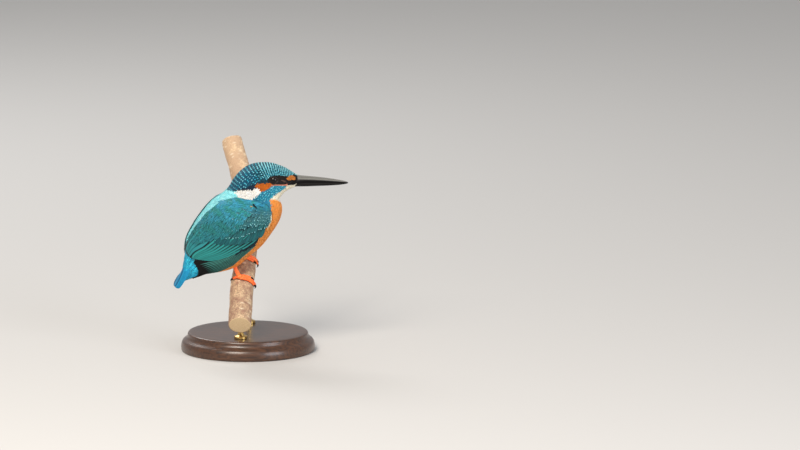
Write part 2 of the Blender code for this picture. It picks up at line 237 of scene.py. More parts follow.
class Shader:
    """A material's node tree in the making, with one way to add a node to it.

    A Mix node of colours has the share as input 0, the colours as 6 and 7, and the result as output 2. A
    Map Range node takes a value (0) from one range (1, 2) to another (3, 4).
    """

    def __init__(self, name: str) -> None:
        """Starts a material that holds a Principled BSDF and its output."""
        self.material = bpy.data.materials.new(name)
        self.material.use_nodes = True
        self.tree = self.material.node_tree

    def add(self, kind: str, inputs: dict | None = None, out: int | str = 0,
            **settings: object) -> bpy.types.NodeSocket:
        """Adds a node.

        Args:
            kind: Its type, without the leading ShaderNode.
            inputs: Its sockets by name or number, each a value or another node's output.
            out: The name or number of the output that is wanted.
            **settings: Its properties.

        Returns:
            That output.
        """
        new = self.tree.nodes.new("ShaderNode" + kind)
        for key, value in settings.items():
            setattr(new, key, value)
        self._join(new, inputs or {})
        return new.outputs[out]

    def cover(self, inputs: dict) -> Material:
        """Sets or links the Principled BSDF's inputs and returns the finished material."""
        self._join(self.tree.nodes["Principled BSDF"], inputs)
        return self.material

    def _join(self, new: bpy.types.Node, inputs: dict) -> None:
        """Sets or links a node's inputs."""
        for key, value in inputs.items():
            if isinstance(value, bpy.types.NodeSocket):
                self.tree.links.new(value, new.inputs[key])
            else:
                new.inputs[key].default_value = value


@dataclass(frozen=True)
class FeatherFinish:
    """Keratin vanes with barbs to either side of a shaft: satin, with a soft sheen across the barbs.

    The ground colour is stored with each feather's points, and so are the place on the vane and the size
    of its pale mark. Real barbs are about 0.1 mm apart: here they are drawn wider so that they show.
    """

    name: str
    mark: str = "#9deaf0"
    deep: str = "#22a2bc"  # the colour of the blue marks on nape and cheek
    roughness: float = 0.6
    specular: float = 0.22
    barb_spacing: float = 0.42  # mm
    barb_slant: float = 1.2  # how far forward a barb runs for each millimetre out
    barb_contrast: float = 0.12
    shaft_width: float = 0.04  # half of it, in mm
    shaft_shade: float = 0.86

    def material(self) -> Material:
        """Barbs run out and forward from the shaft: waves of (along - slant x distance from the shaft).

        The pale mark is an oval round the vane's stored origin, where the scaled distance is below 1.
        """
        shader = Shader(self.name)
        tint = shader.add("Attribute", out="Color", attribute_name="Tint")
        vane = shader.add("Attribute", out="Vector", attribute_name="Vane")
        size = shader.add("Attribute", out="Vector", attribute_name="Mark")
        scaled = shader.add("VectorMath", {0: vane, 1: size}, operation="MULTIPLY")
        reach = shader.add("VectorMath", {0: scaled}, "Value", operation="LENGTH")
        spot = shader.add("MapRange", {0: reach, 1: 0.75, 2: 1.1, 3: 1.0, 4: 0.0})
        x, y = shader.add("SeparateXYZ", {0: vane}).node.outputs[:2]
        side = shader.add("Math", {0: x}, operation="ABSOLUTE")
        slant = shader.add("Math", {0: side, 1: -self.barb_slant, 2: y}, operation="MULTIPLY_ADD")
        turns = shader.add("Math", {0: slant, 1: math.tau / self.barb_spacing}, operation="MULTIPLY")
        wave = shader.add("Math", {0: turns}, operation="SINE")
        low, high = 1 - self.barb_contrast, 1 + self.barb_contrast / 3
        barb = shader.add("MapRange", {0: wave, 1: -1.0, 2: 1.0, 3: low, 4: high})
        near = {0: side, 1: self.shaft_width, 2: self.shaft_width * 2.5, 3: self.shaft_shade, 4: 1.0}
        shaft = shader.add("MapRange", near)
        shade = shader.add("Math", {0: barb, 1: shaft}, operation="MULTIPLY")
        kinds = {0: tint.node.outputs["Alpha"], 6: rgba(self.deep), 7: rgba(self.mark)}
        spots = shader.add("Mix", kinds, 2, **COLOURS)
        ground = shader.add("Mix", {0: spot, 6: tint, 7: spots}, 2, **COLOURS)
        return shader.cover({
            "Base Color": shader.add("VectorMath", {0: ground, "Scale": shade}, operation="SCALE"),
            "Roughness": self.roughness,
            "Specular IOR Level": self.specular,
            "Sheen Weight": 0.04,
            "Sheen Roughness": 0.4,
            "IOR": 1.54,
            "Normal": shader.add("Bump", {"Height": barb, "Distance": 0.04 * MM, "Strength": 0.5}),
        })


@dataclass(frozen=True)
class SkinFinish:
    """Down and feather bases between the vanes: matt, in the colour stored with the skin's points, darkened
    as painted shade.
    """

    name: str = "down_and_feather_bases"
    tufts: float = 1600.0  # to a metre: about 0.6 mm apart

    def material(self) -> Material:
        """The stored colour, broken by a fine noise for the down."""
        shader = Shader(self.name)
        tint = shader.add("Attribute", out="Color", attribute_name="Tint")
        place = shader.add("TexCoord", out="Object")
        down = shader.add("TexNoise", {"Vector": place, "Scale": self.tufts, "Detail": 3.0})
        shade = shader.add("MapRange", {0: down, 1: 0.3, 2: 0.7, 3: 0.6, 4: 1.1})
        return shader.cover({
            "Base Color": shader.add("VectorMath", {0: tint, "Scale": shade}, operation="SCALE"),
            "Roughness": 0.9,
            "Normal": shader.add("Bump", {"Height": down, "Distance": 0.2 * MM, "Strength": 0.7}),
        })


@dataclass(frozen=True)
class HornFinish:
    """Keratin horn of bill or claw: smooth and glossy, in the stored colour, with fine growth streaks."""

    name: str
    streaks: float = 300.0  # to a metre along the bill, and eight times as many across: 0.4 mm apart
    contrast: float = 0.1

    def material(self) -> Material:
        """Streaks are noise drawn out along the bill."""
        shader = Shader(self.name)
        tint = shader.add("Attribute", out="Color", attribute_name="Tint")
        place = shader.add("TexCoord", out="Object")
        drawn = shader.add("Mapping", {"Vector": place, "Scale": (1.0, 8.0, 8.0)})
        streak = shader.add("TexNoise", {"Vector": drawn, "Scale": self.streaks, "Detail": 4.0})
        low, high = 1 - self.contrast, 1 + self.contrast
        shade = shader.add("MapRange", {0: streak, 1: 0.3, 2: 0.7, 3: low, 4: high})
        return shader.cover({
            "Base Color": shader.add("VectorMath", {0: tint, "Scale": shade}, operation="SCALE"),
            "Roughness": 0.27,
            "IOR": 1.55,
            "Specular IOR Level": 0.12,
            "Normal": shader.add("Bump", {"Height": streak, "Distance": 0.02 * MM, "Strength": 0.3}),
        })


@dataclass(frozen=True)
class EyeFinish:
    """A wet eye: black pupil and dark brown iris, stored with the ball's points, under a clear cornea."""

    name: str = "wet_eye"

    def material(self) -> Material:
        """A dark body colour, nearly mirror-smooth."""
        shader = Shader(self.name)
        tint = shader.add("Attribute", out="Color", attribute_name="Tint")
        return shader.cover({"Base Color": tint, "Roughness": 0.03, "IOR": 1.38})


@dataclass(frozen=True)
class ScaleFinish:
    """Scaly skin of foot, lid or gape: waxy, a little translucent, lighter on the scutes' crowns."""

    name: str
    deep: str
    light: str
    scutes: float = 1400.0  # to a metre: about 0.7 mm across
    blotches: float = 260.0  # to a metre: about 4 mm across

    def material(self) -> Material:
        """Scutes are cells, and the crown of each is lighter than its edge."""
        shader = Shader(self.name)
        place = shader.add("TexCoord", out="Object")
        cells = shader.add("TexVoronoi", {"Vector": place, "Scale": self.scutes}, feature="DISTANCE_TO_EDGE")
        crown = shader.add("MapRange", {0: cells, 1: 0.0, 2: 0.25, 3: 0.0, 4: 1.0})
        blotch = shader.add("TexNoise", {"Vector": place, "Scale": self.blotches, "Detail": 2.0})
        share = shader.add("Math", {0: crown, 1: 0.45, 2: blotch}, operation="MULTIPLY_ADD")
        share = shader.add("MapRange", {0: share, 1: 0.35, 2: 1.15, 3: 0.0, 4: 1.0})
        colour = shader.add("Mix", {0: share, 6: rgba(self.deep), 7: rgba(self.light)}, 2, **COLOURS)
        return shader.cover({
            "Base Color": colour,
            "Roughness": 0.45,
            "IOR": 1.45,
            "Subsurface Weight": 0.1,
            "Subsurface Radius": (1.0, 0.35, 0.15),
            "Subsurface Scale": 1.2 * MM,
            "Normal": shader.add("Bump", {"Height": crown, "Distance": 0.05 * MM, "Strength": 0.5}),
        })


@dataclass(frozen=True)
class BarkFinish:
    """Smooth young bark: pinkish brown, blotched with cream, paler higher up, with pale corky lenticels."""

    name: str = "young_bark"
    base: str = "#a5806a"
    cream: str = "#e4c7a0"
    shadow: str = "#644b3e"
    lenticel: str = "#ecdcbf"
    blotches: float = 130.0  # to a metre: about 8 mm across
    flecks: float = 1050.0  # to a metre: about 1 mm across

    def material(self) -> Material:
        """Cream blotches and dark flecks are noises; higher up the bark turns paler with fewer flecks;
        lenticels are stored.
        """
        shader = Shader(self.name)
        place = shader.add("TexCoord", out="Object")
        rough = {"Detail": 6.0, "Roughness": 0.75}
        wide = shader.add("TexNoise", {"Vector": place, "Scale": self.blotches, **rough})
        share = shader.add("MapRange", {0: wide, 1: 0.42, 2: 0.66, 3: 0.0, 4: 1.0})
        height = shader.add("SeparateXYZ", {0: place}, "Z")
        paler_higher_up = shader.add("MapRange", {0: height, 1: 0.08, 2: 0.14, 3: 0.0, 4: 0.45})
        pale = shader.add("Math", {0: share, 1: paler_higher_up}, operation="MAXIMUM")
        colour = shader.add("Mix", {0: pale, 6: rgba(self.base), 7: rgba(self.cream)}, 2, **COLOURS)
        rough = {"Detail": 5.0, "Roughness": 0.75}
        fine = shader.add("TexNoise", {"Vector": place, "Scale": self.flecks, **rough})
        dark = shader.add("MapRange", {0: fine, 1: 0.46, 2: 0.62, 3: 0.0, 4: 0.7})
        fewer = shader.add("Math", {0: dark, 1: paler_higher_up}, operation="SUBTRACT", use_clamp=True)
        colour = shader.add("Mix", {0: fewer, 6: colour, 7: rgba(self.shadow)}, 2, **COLOURS)
        spots = shader.add("Attribute", out="Fac", attribute_name="Lenticel")
        return shader.cover({
            "Base Color": shader.add("Mix", {0: spots, 6: colour, 7: rgba(self.lenticel)}, 2, **COLOURS),
            "Roughness": 0.82,
            "Specular IOR Level": 0.3,
            "Normal": shader.add("Bump", {"Height": fine, "Distance": 0.35 * MM, "Strength": 0.8}),
        })


@dataclass(frozen=True)
class SawnEndFinish:
    """The branch's sawn ends: pale wood with annual rings and fine saw marks."""

    name: str = "sawn_end_grain"
    early: str = "#e2c79c"
    late: str = "#a97e50"
    ring: float = 0.9  # mm from one annual ring to the next

    def material(self) -> Material:
        """The rings are a sine of the stored distance from the pith."""
        shader = Shader(self.name)
        reach = shader.add("Attribute", out="Vector", attribute_name="Vane")
        distance = shader.add("VectorMath", {0: reach}, "Value", operation="LENGTH")
        turns = shader.add("Math", {0: distance, 1: math.tau / self.ring}, operation="MULTIPLY")
        wave = shader.add("Math", {0: turns}, operation="SINE")
        share = shader.add("MapRange", {0: wave, 1: 0.2, 2: 1.0, 3: 0.0, 4: 0.8})
        colour = shader.add("Mix", {0: share, 6: rgba(self.early), 7: rgba(self.late)}, 2, **COLOURS)
        return shader.cover({
            "Base Color": colour,
            "Roughness": 0.8,
            "Normal": shader.add("Bump", {"Height": wave, "Distance": 0.08 * MM, "Strength": 0.4}),
        })


@dataclass(frozen=True)
class TurnedWoodFinish:
    """Dark stained beech, turned and varnished: fine straight grain under a satin coat."""

    name: str = "stained_turned_wood"
    dark: str = "#2c1a10"
    light: str = "#5d3a22"
    grain: float = 70.0  # to a metre along X, and ten times as many across: about 1.4 mm apart

    def material(self) -> Material:
        """Grain is noise drawn out along X."""
        shader = Shader(self.name)
        place = shader.add("TexCoord", out="Object")
        drawn = shader.add("Mapping", {"Vector": place, "Scale": (1.0, 10.0, 10.0)})
        rough = {"Detail": 8.0, "Roughness": 0.65}
        grain = shader.add("TexNoise", {"Vector": drawn, "Scale": self.grain, **rough})
        share = shader.add("MapRange", {0: grain, 1: 0.35, 2: 0.68, 3: 0.0, 4: 1.0})
        colour = shader.add("Mix", {0: share, 6: rgba(self.dark), 7: rgba(self.light)}, 2, **COLOURS)
        return shader.cover({
            "Base Color": colour,
            "Roughness": 0.38,
            "Coat Weight": 0.35,
            "Coat Roughness": 0.18,
            "Normal": shader.add("Bump", {"Height": grain, "Distance": 0.08 * MM, "Strength": 0.35}),
        })


@dataclass(frozen=True)
class BrassFinish:
    """Turned and lacquered brass rod, with fine lathe marks round it."""

    name: str = "turned_brass"
    colour: str = "#d9b36a"
    marks: float = 3000.0  # to a metre up the rod: about 0.3 mm apart

    def material(self) -> Material:
        """Lathe marks are noise stretched flat, and change the gloss."""
        shader = Shader(self.name)
        place = shader.add("TexCoord", out="Object")
        drawn = shader.add("Mapping", {"Vector": place, "Scale": (0.05, 0.05, 1.0)})
        marks = shader.add("TexNoise", {"Vector": drawn, "Scale": self.marks, "Detail": 2.0})
        return shader.cover({
            "Base Color": rgba(self.colour),
            "Metallic": 1.0,
            "Roughness": shader.add("MapRange", {0: marks, 1: 0.3, 2: 0.7, 3: 0.22, 4: 0.36}),
            "Normal": shader.add("Bump", {"Height": marks, "Distance": 0.01 * MM, "Strength": 0.3}),
        })


@dataclass(frozen=True)
class FloorFinish:
    """Pale matt studio floor."""

    name: str = "studio_floor"
    colour: str = "#c9c7c4"

    def material(self) -> Material:
        """One even colour, because the floor is only a backdrop."""
        return Shader(self.name).cover({"Base Color": rgba(self.colour), "Roughness": 0.9})


# ---- the bird's own frame and surfaces


@dataclass(frozen=True)
class Pose:
    """How the bird is turned, and where the middle of its grip is in the model's frame."""

    feet: Place = (2.0, -8.0, 62.0)
    neck: Pair = (5.0, -3.0)  # the neck's upright axis, from the feet
    head_yaw: float = 4.0
    body_yaw: float = 15.0
    body_roll: float = 3.0
    roll_height: float = 55.0  # over the feet, where the lean starts

    def place(self, forward: Array, up: Array, side: Array, turn: Array) -> Array:
        """Turns a point of the bird's own frame into the model's.

        Args:
            forward: Towards the bill, from the neck's upright axis.
            up: Height over the feet.
            side: Towards the bird's right.
            turn: The share of the body's turn and lean that the point has: 0 on the head, 1 on the body.

        Returns:
            Places in millimetres.
        """
        yaw = np.radians(self.head_yaw + (self.body_yaw - self.head_yaw) * turn)
        roll = np.radians(self.body_roll * turn)
        over = up - self.roll_height
        across = side * np.cos(roll) + over * np.sin(roll)
        height = self.roll_height + over * np.cos(roll) - side * np.sin(roll)
        x = self.feet[0] + self.neck[0] + forward * np.cos(yaw) + across * np.sin(yaw)
        y = self.feet[1] + self.neck[1] + forward * np.sin(yaw) - across * np.cos(yaw)
        return np.stack(np.broadcast_arrays(x, y, self.feet[2] + height), -1)


MAP_SPAN, MAP_MARGIN = 0.96, 0.02  # what an unwrap takes of its map, and the margin that it leaves


class Surface(ABC):
    """A surface of two parameters, u towards the tail and v round or across it, and a height over it."""

    sections: tuple
    hand: int = 1  # 1 where u, then v, turn anticlockwise seen from outside, and otherwise -1
    span: Pair = (1.0, 1.0)  # the ranges of u and v: a small step is a thousandth of them

    def __post_init__(self) -> None:
        """Reads the sections once as plain numbers."""
        self.rows = table(self.sections)

    @abstractmethod
    def point(self, u: Array, v: Array, proud: Array | float = 0.0) -> Array:
        """The place that stands so many millimetres proud of the surface at u, v."""

    @abstractmethod
    def unwrap(self, u: Array, v: Array) -> Array:
        """The place of u, v on a flat map of the surface, from 0 to 1 each way."""

    def axes(self, u: Array, v: Array, proud: Array | float = 0.0) -> tuple[Array, Array, Array]:
        """The surface's own directions, from small steps either way.

        Args:
            u: First parameter.
            v: Second parameter.
            proud: Height over the surface.

        Returns:
            Millimetres for one step of u, the same for v, and the unit normal that points outwards.
        """
        du, dv = self.span[0] * 1e-3, self.span[1] * 1e-3
        along = (self.point(u + du, v, proud) - self.point(u - du, v, proud)) / (2 * du)
        across = (self.point(u, v + dv, proud) - self.point(u, v - dv, proud)) / (2 * dv)
        return along, across, unit(np.cross(along, across)) * self.hand


@dataclass(frozen=True)
class Section:
    """One section of the body: back and front points, half width, and its share of the body's turn."""

    back: Pair
    front: Pair
    half_width: float
    turn: float


@dataclass
class BodySurface(Surface):
    """Head, neck, trunk and rump as one soft surface: u is the section t, v the angle theta."""

    pose: Pose
    sections: tuple[Section, ...] = (
        Section((29.6, 72.5), (29.6, 63.6), 4.0, 0.0),
        Section((24.6, 75.4), (25.6, 62.2), 6.6, 0.0),
        Section((18.5, 78.4), (21.6, 60.0), 9.2, 0.0),
        Section((10.5, 80.6), (18.5, 57.0), 11.2, 0.0),
        Section((0.2, 79.8), (17.0, 53.4), 12.6, 0.0),
        Section((-10.1, 75.0), (18.7, 49.8), 13.2, 0.15),
        Section((-18.5, 66.0), (18.8, 43.7), 14.5, 0.5),
        Section((-24.8, 59.8), (16.4, 36.9), 16.5, 0.85),
        Section((-33.1, 54.0), (11.0, 28.7), 17.8, 1.0),
        Section((-40.9, 45.0), (3.6, 19.3), 17.8, 1.0),
        Section((-47.1, 36.0), (-6.0, 11.5), 16.5, 1.0),
        Section((-52.2, 26.7), (-15.5, 3.8), 13.6, 1.0),
        Section((-53.8, 17.7), (-28.0, 0.3), 10.0, 1.0),
        Section((-54.5, 11.7), (-39.0, -0.4), 7.4, 1.0),
        Section((-55.4, 6.0), (-45.6, -2.4), 6.3, 1.0),
    )
    fullness: float = 0.03  # how far the oval swells half way between its axes
    span: Pair = (14.0, 360.0)

    def point(self, u: Array, v: Array, proud: Array | float = 0.0) -> Array:
        """An oval between the back and front points, a little squarer than an ellipse."""
        t, theta, proud = np.broadcast_arrays(u, np.radians(v), proud)
        row = through(self.rows, t)
        back, front, half_width, turn = row[..., :2], row[..., 2:4], row[..., 4], row[..., 5]
        half = (back - front) / 2
        half_depth = np.linalg.norm(half, axis=-1)
        full = 1 + self.fullness * (1 - np.cos(4 * theta))
        side = np.sin(theta) * (half_width * full + proud)
        rise = np.cos(theta) * (half_depth * full + proud)
        middle = (back + front) / 2 + half / half_depth[..., None] * rise[..., None]
        return self.pose.place(middle[..., 0], middle[..., 1], side, turn)

    def unwrap(self, u: Array, v: Array) -> Array:
        """Opened along the belly, with the head at the bottom."""
        return np.stack([((v + 180) % 360) / 360, np.clip(u / 15, 0, 1)], -1) * MAP_SPAN + MAP_MARGIN


@dataclass(frozen=True)
class Rib:
    """A line across a folded wing, from its lower to its upper edge, each as (t, theta)."""

    low: Pair
    high: Pair
    thickness: float


@dataclass
class WingSurface(Surface):
    """The outer face of a folded wing: u counts its ribs from the bend (0) to the tip (9), v its width."""

    body: BodySurface
    hand: int
    sections: tuple[Rib, ...] = (
        Rib((5.90, 108), (5.90, 92), 1.0),
        Rib((6.40, 118), (6.30, 75), 1.6),
        Rib((7.10, 124), (7.00, 42), 2.4),
        Rib((8.00, 128), (8.20, 30), 2.8),
        Rib((9.20, 130), (9.50, 27), 2.8),
        Rib((10.40, 132), (10.80, 26), 2.6),
        Rib((11.40, 138), (11.90, 26), 2.3),
        Rib((12.40, 148), (12.50, 52), 2.0),
        Rib((13.30, 152), (13.10, 94), 1.7),
        Rib((14.15, 146), (14.00, 134), 1.2),
        Rib((14.90, 154), (14.80, 142), 1.0),  # beyond the solid's end, for the longest feathers' tips
    )
    gap: float = 0.3  # between wing and body
    edge: float = 0.7  # the wing's thickness at its edges
    span: Pair = (9.0, 1.0)

    def point(self, u: Array, v: Array, proud: Array | float = 0.0) -> Array:
        """The body's surface raised by the wing's own dome, which is highest in the middle of a rib."""
        rib, share, proud = np.broadcast_arrays(u, v, proud)
        row = through(self.rows, rib)
        t = row[..., 0] + (row[..., 2] - row[..., 0]) * share
        theta = row[..., 1] + (row[..., 3] - row[..., 1]) * share
        dome = np.sqrt(np.sin(np.pi * np.clip(share, 0.0, 1.0)))
        height = self.gap + self.edge + (row[..., 4] - self.edge) * dome
        return self.body.point(t, theta * self.hand, height + proud)

    def axes(self, u: Array, v: Array, proud: Array | float = 0.0) -> tuple[Array, Array, Array]:
        """As on any surface; v runs up the wing, so the normal of the right wing is turned round."""
        along, across, _ = super().axes(u, v, proud)
        return along, across, unit(np.cross(across, along)) * self.hand

    def unwrap(self, u: Array, v: Array) -> Array:
        """The wing laid flat, tip to the right."""
        return np.stack([u / 10 * MAP_SPAN + MAP_MARGIN, np.clip(v, -0.1, 1.1) * 0.78 + 0.11], -1)


@dataclass(frozen=True)
class TailSection:
    """One section of the tail: back and front points, and roll about the tail's length."""

    back: Pair
    front: Pair
    roll: float


@dataclass
class TailSurface(Surface):
    """The tail's upper side: u counts its sections from the coverts (0) to the tip (4), v is -1 to 1."""

    pose: Pose
    sections: tuple[TailSection, ...] = (
        TailSection((-55.5, 5.6), (-46.0, -2.7), 0.0),
        TailSection((-56.9, 1.0), (-52.3, -4.2), 7.0),
        TailSection((-58.9, -3.5), (-56.8, -5.6), 11.0),
        TailSection((-61.0, -7.6), (-60.0, -8.7), 11.0),
        TailSection((-62.2, -9.8), (-61.7, -10.4), 11.0),
    )
    half_width: float = 7.0
    arch: float = 0.55  # how far the tail falls at its edges, as a share of its depth
    span: Pair = (4.0, 1.0)

    def point(self, u: Array, v: Array, proud: Array | float = 0.0) -> Array:
        """A shallow arch across the tail, through the back points of its sections."""
        at, share, proud = np.broadcast_arrays(u, v, proud)
        row = through(self.rows, at)
        half = (row[..., :2] - row[..., 2:4]) / 2
        depth = np.linalg.norm(half, axis=-1)
        roll = np.radians(row[..., 4])
        side = share * self.half_width
        rise = depth * (1 - self.arch * np.clip(share, -1, 1) ** 2) + proud
        cos, sin = np.cos(roll), np.sin(roll)
        side, rise = side * cos + rise * sin, rise * cos - side * sin
        middle = (row[..., :2] + row[..., 2:4]) / 2 + half / depth[..., None] * rise[..., None]
        return self.pose.place(middle[..., 0], middle[..., 1], side, 1.0)

    def unwrap(self, u: Array, v: Array) -> Array:
        """The tail laid flat."""
        return np.stack([u / 5 * MAP_SPAN + MAP_MARGIN, np.clip(v, -1.2, 1.2) * 0.4 + 0.5], -1)


# ---- markings

SECTION_SIZE, DEGREE_SIZE = 7.0, 0.27  # about how many millimetres a step of t and a degree of theta are


class Mark(Enum):
    """The pale mark near a feather's tip."""

    NONE = 0
    BAR = 1
    SPOT = 2


@dataclass(frozen=True)
class Patch:
    """A marking on the body: its outline on the right side as (t, theta) corners, and its colours."""

    name: str
    base: str
    varied: str
    rough_edge: float  # how far feathers stray over the outline, mm
    outline: tuple[Pair, ...]
    mark: Mark = Mark.NONE


def inside(outline: Sequence[Pair], t: Array, theta: Array) -> Array:
    """How far inside an outline a place is, in about millimetres, and below zero outside it.

    The distance is to the nearest side of the outline. Its sign comes from how many of the sides a line
    along theta crosses.

    Args:
        outline: Corners as (t, theta) on the right side.
        t: Sections.
        theta: Angles, of either side.

    Returns:
        Distances.
    """
    start = np.array(outline) * (SECTION_SIZE, DEGREE_SIZE)
    spot = np.stack([t * SECTION_SIZE, np.abs(theta) * DEGREE_SIZE], -1)[..., None, :]
    end = np.roll(start, -1, 0)
    edge = end - start
    share = np.clip(((spot - start) * edge).sum(-1) / (edge**2).sum(-1), 0, 1)
    distance = np.linalg.norm(spot - start - share[..., None] * edge, axis=-1).min(-1)
    spans = (start[:, 0] > spot[..., 0]) != (end[:, 0] > spot[..., 0])
    slope = np.where(edge[:, 0] == 0, 1e-9, edge[:, 0])
    height = start[:, 1] + (spot[..., 0] - start[:, 0]) / slope * edge[:, 1]
    crossings = (spans & (spot[..., 1] < height)).sum(-1)
    return np.where(crossings % 2 == 1, distance, -distance)


def mottle(t: Array, theta: Array) -> Array:
    """Soft clouds from 0 to 1, some 4 mm across: three crossed sine waves over the body."""
    slow, fast = np.sin(t * 5.3 - theta * 0.23 + 1.0), np.sin(t * 14.7 + theta * 0.11)
    return 0.5 + (np.sin(t * 9.1 + theta * 0.31) + slow + fast) / 6


@dataclass
class Plumage:
    """The colours of the small body feathers by their place. A later patch lies over an earlier one."""

    patches: tuple[Patch, ...] = (
        Patch("underparts", "#ffaa50", "#ff933a", 0.4, (
            (4.0, 200), (4.4, 150), (4.8, 120), (5.1, 112), (5.5, 113), (6.0, 118), (9.0, 117), (11.0, 119),
            (12.4, 130), (15.6, 128), (15.6, 200))),
        Patch("mantle", "#b0fdff", "#78e6f2", 0.7, (
            (6.1, -5), (6.1, 36), (6.55, 52), (7.3, 44), (8.0, 33), (9.2, 26), (11.5, 30), (12.2, 85),
            (12.8, 124), (15.6, 124), (15.6, -5))),
        Patch("rump", "#35c0dc", "#22a2cc", 0.5, (
            (11.7, -5), (11.9, 40), (12.3, 90), (12.8, 124), (15.6, 124), (15.6, -5))),
        Patch("breast_side", "#42a2b4", "#2f92c4", 0.5, (
            (5.45, 100), (5.45, 112), (6.0, 118), (6.6, 120), (7.0, 100), (7.0, 60), (6.6, 70), (6.1, 84))),
        Patch("crown", "#0a5668", "#084256", 0.2, (
            (-0.6, -5), (-0.6, 14), (0.45, 24), (1.3, 60), (2.2, 66), (3.0, 68), (3.5, 72), (3.9, 80),
            (4.4, 77), (4.9, 67), (5.5, 63), (5.7, 57), (6.2, 37), (6.5, 14), (6.6, -5)), Mark.BAR),
        Patch("nape", "#085c74", "#084868", 1.2, (
            (4.3, -5), (4.5, 60), (4.9, 66), (5.6, 55), (6.2, 37), (6.5, 14), (6.6, -5)), Mark.SPOT),
        # a dark strip along the top of the white neck patch: painted shade under the nape's lower edge
        Patch("nape_edge_shade", "#0b2f47", "#082236", 0.3, (
            (4.9, 66), (5.3, 60), (5.65, 53), (6.05, 38), (6.3, 32), (6.15, 44), (5.75, 57), (5.45, 68),
            (5.15, 73))),
        Patch("neck_patch", "#ffffff", "#fdf6e8", 0.15, (
            (6.43, 34), (6.1, 43), (5.75, 56), (5.48, 68), (5.2, 73), (5.2, 82), (5.33, 85), (5.73, 80),
            (6.18, 78), (6.42, 70), (6.38, 65), (6.6, 55), (6.55, 46))),
        Patch("throat", "#fffaea", "#fcefc8", 0.3, (
            (-0.6, 108), (1.9, 112), (2.4, 127), (3.7, 124), (4.8, 113), (5.2, 107), (5.15, 112), (4.5, 138),
            (4.1, 200), (-0.6, 200))),
        Patch("malar_stripe", "#1f8ba6", "#186c92", 0.2, (
            (1.8, 114), (3.85, 99), (4.6, 95), (5.33, 86), (5.85, 78), (6.25, 76), (6.3, 83), (6.0, 92),
            (5.45, 104), (5.0, 113), (3.95, 124), (2.8, 129), (1.9, 127)), Mark.SPOT),
        Patch("ear_patch", "#d06c08", "#b45306", 0.3, (
            (5.2, 69), (4.93, 69), (4.35, 79), (3.8, 85), (3.55, 93), (4.17, 97), (4.85, 92), (5.15, 85),
            (5.0, 78))),
        Patch("behind_eye", "#12414f", "#0c2a36", 0.3, (
            (3.4, 74), (4.4, 70), (4.9, 67), (4.35, 79), (3.8, 85), (3.4, 94))),
        Patch("lore", "#0d0a09", "#1f1814", 0.15, (
            (0.5, 90), (1.4, 70), (2.2, 67), (2.7, 66), (3.4, 68), (3.9, 79), (3.6, 93), (2.6, 104),
            (1.5, 110), (0.5, 108))),
        Patch("loral_streak", "#6e5448", "#3c2c25", 0.25, (
            (1.75, 90), (2.1, 84), (2.35, 88), (2.0, 97), (1.6, 99))),
        Patch("loral_spot", "#e08a38", "#a8602a", 0.15, (
            (0.25, 62), (0.35, 57), (0.85, 61), (1.4, 71), (1.6, 80), (1.5, 86), (0.88, 85), (0.35, 79))),
        Patch("nostril", "#0e0c0b", "#241c16", 0.1, (
            (-0.6, 30), (0.3, 40), (0.25, 58), (0.15, 84), (0.3, 108), (-0.6, 118))),
    )
    bars_until: float = 3.9  # the section where the crown's bars give way to spots
    clouds: float = 0.65  # how much of the variation between feathers is cloudy, and the rest is chance

    def colours(self, t: Array, theta: Array, rng: np.random.Generator) -> tuple[Array, Array]:
        """The colours of feathers by the place of each.

        The last patch that a place lies in gives its colour, and outside them all the nearest one.

        Args:
            t: Sections.
            theta: Angles.
            rng: Where the small differences between neighbours come from.

        Returns:
            The colours, and the number of the Mark that each has.
        """
        shift = rng.uniform(-1, 1, t.shape)
        depth = [inside(patch.outline, t, theta) + shift * patch.rough_edge for patch in self.patches]
        depth = np.stack(depth)
        order = np.arange(1, len(self.patches) + 1).reshape(-1, *[1] * t.ndim)
        owner = (depth + (depth > 0) * 1000.0 * order).argmax(0)  # 1000 is more than any depth
        base = np.array([linear(patch.base) for patch in self.patches])[owner]
        varied = np.array([linear(patch.varied) for patch in self.patches])[owner]
        share = (self.clouds * mottle(t, theta) + (1 - self.clouds) * rng.random(t.shape))[..., None]
        kind = np.array([patch.mark.value for patch in self.patches])[owner]
        kind = np.where((kind == Mark.BAR.value) & (t > self.bars_until), Mark.SPOT.value, kind)
        return base * (1 - share) + varied * share, kind


# ---- feathers


@dataclass(frozen=True)
class VaneShape:
    """The shape that feathers of one kind share.

    A vane is a closed body of rings from root to tip. Each ring has its upper points from the inner to
    the outer edge and its lower points back again.
    """

    steps: tuple[float, ...]  # where the rings are, as shares of the length
    widths: tuple[float, ...]  # half width at each ring, as shares of the greatest
    columns: tuple[float, ...] = (-1.0, 0.0, 1.0)  # the upper points, as shares of the half width
    thickness: float = 0.06
    camber: float = 0.1  # how far the shaft stands over the edges, as a share of the half width
    tilt: float = 0.0  # how far the outer edge is raised and the inner one sunk


PLUME = VaneShape((0.0, 0.45, 0.8, 1.0), (0.6, 1.0, 0.85, 0.22), thickness=0.04, camber=0.05)
ROUND = VaneShape((0.0, 0.35, 0.7, 0.9, 1.0), (0.45, 0.9, 1.0, 0.75, 0.25), thickness=0.05, camber=0.07)
COVERT = VaneShape(
    (0.0, 0.2, 0.4, 0.6, 0.75, 0.87, 0.95, 1.0),
    (0.4, 0.75, 0.95, 1.0, 0.95, 0.76, 0.47, 0.14),
    (-1.0, -0.5, 0.0, 0.5, 1.0), thickness=0.05, camber=0.04, tilt=0.1)
QUILL = VaneShape(
    (0.0, 0.1, 0.2, 0.3, 0.4, 0.5, 0.6, 0.7, 0.8, 0.88, 0.94, 0.98, 1.0),
    (0.5, 0.7, 0.85, 0.94, 1.0, 1.0, 1.0, 1.0, 0.97, 0.86, 0.66, 0.38, 0.12),
    (-1.0, -0.3, 0.2, 0.5, 0.7, 0.9, 1.0), thickness=0.06, camber=0.02, tilt=0.22)

PATCH_SIZE = 0.003  # the side of one feather's patch, as a share of its map


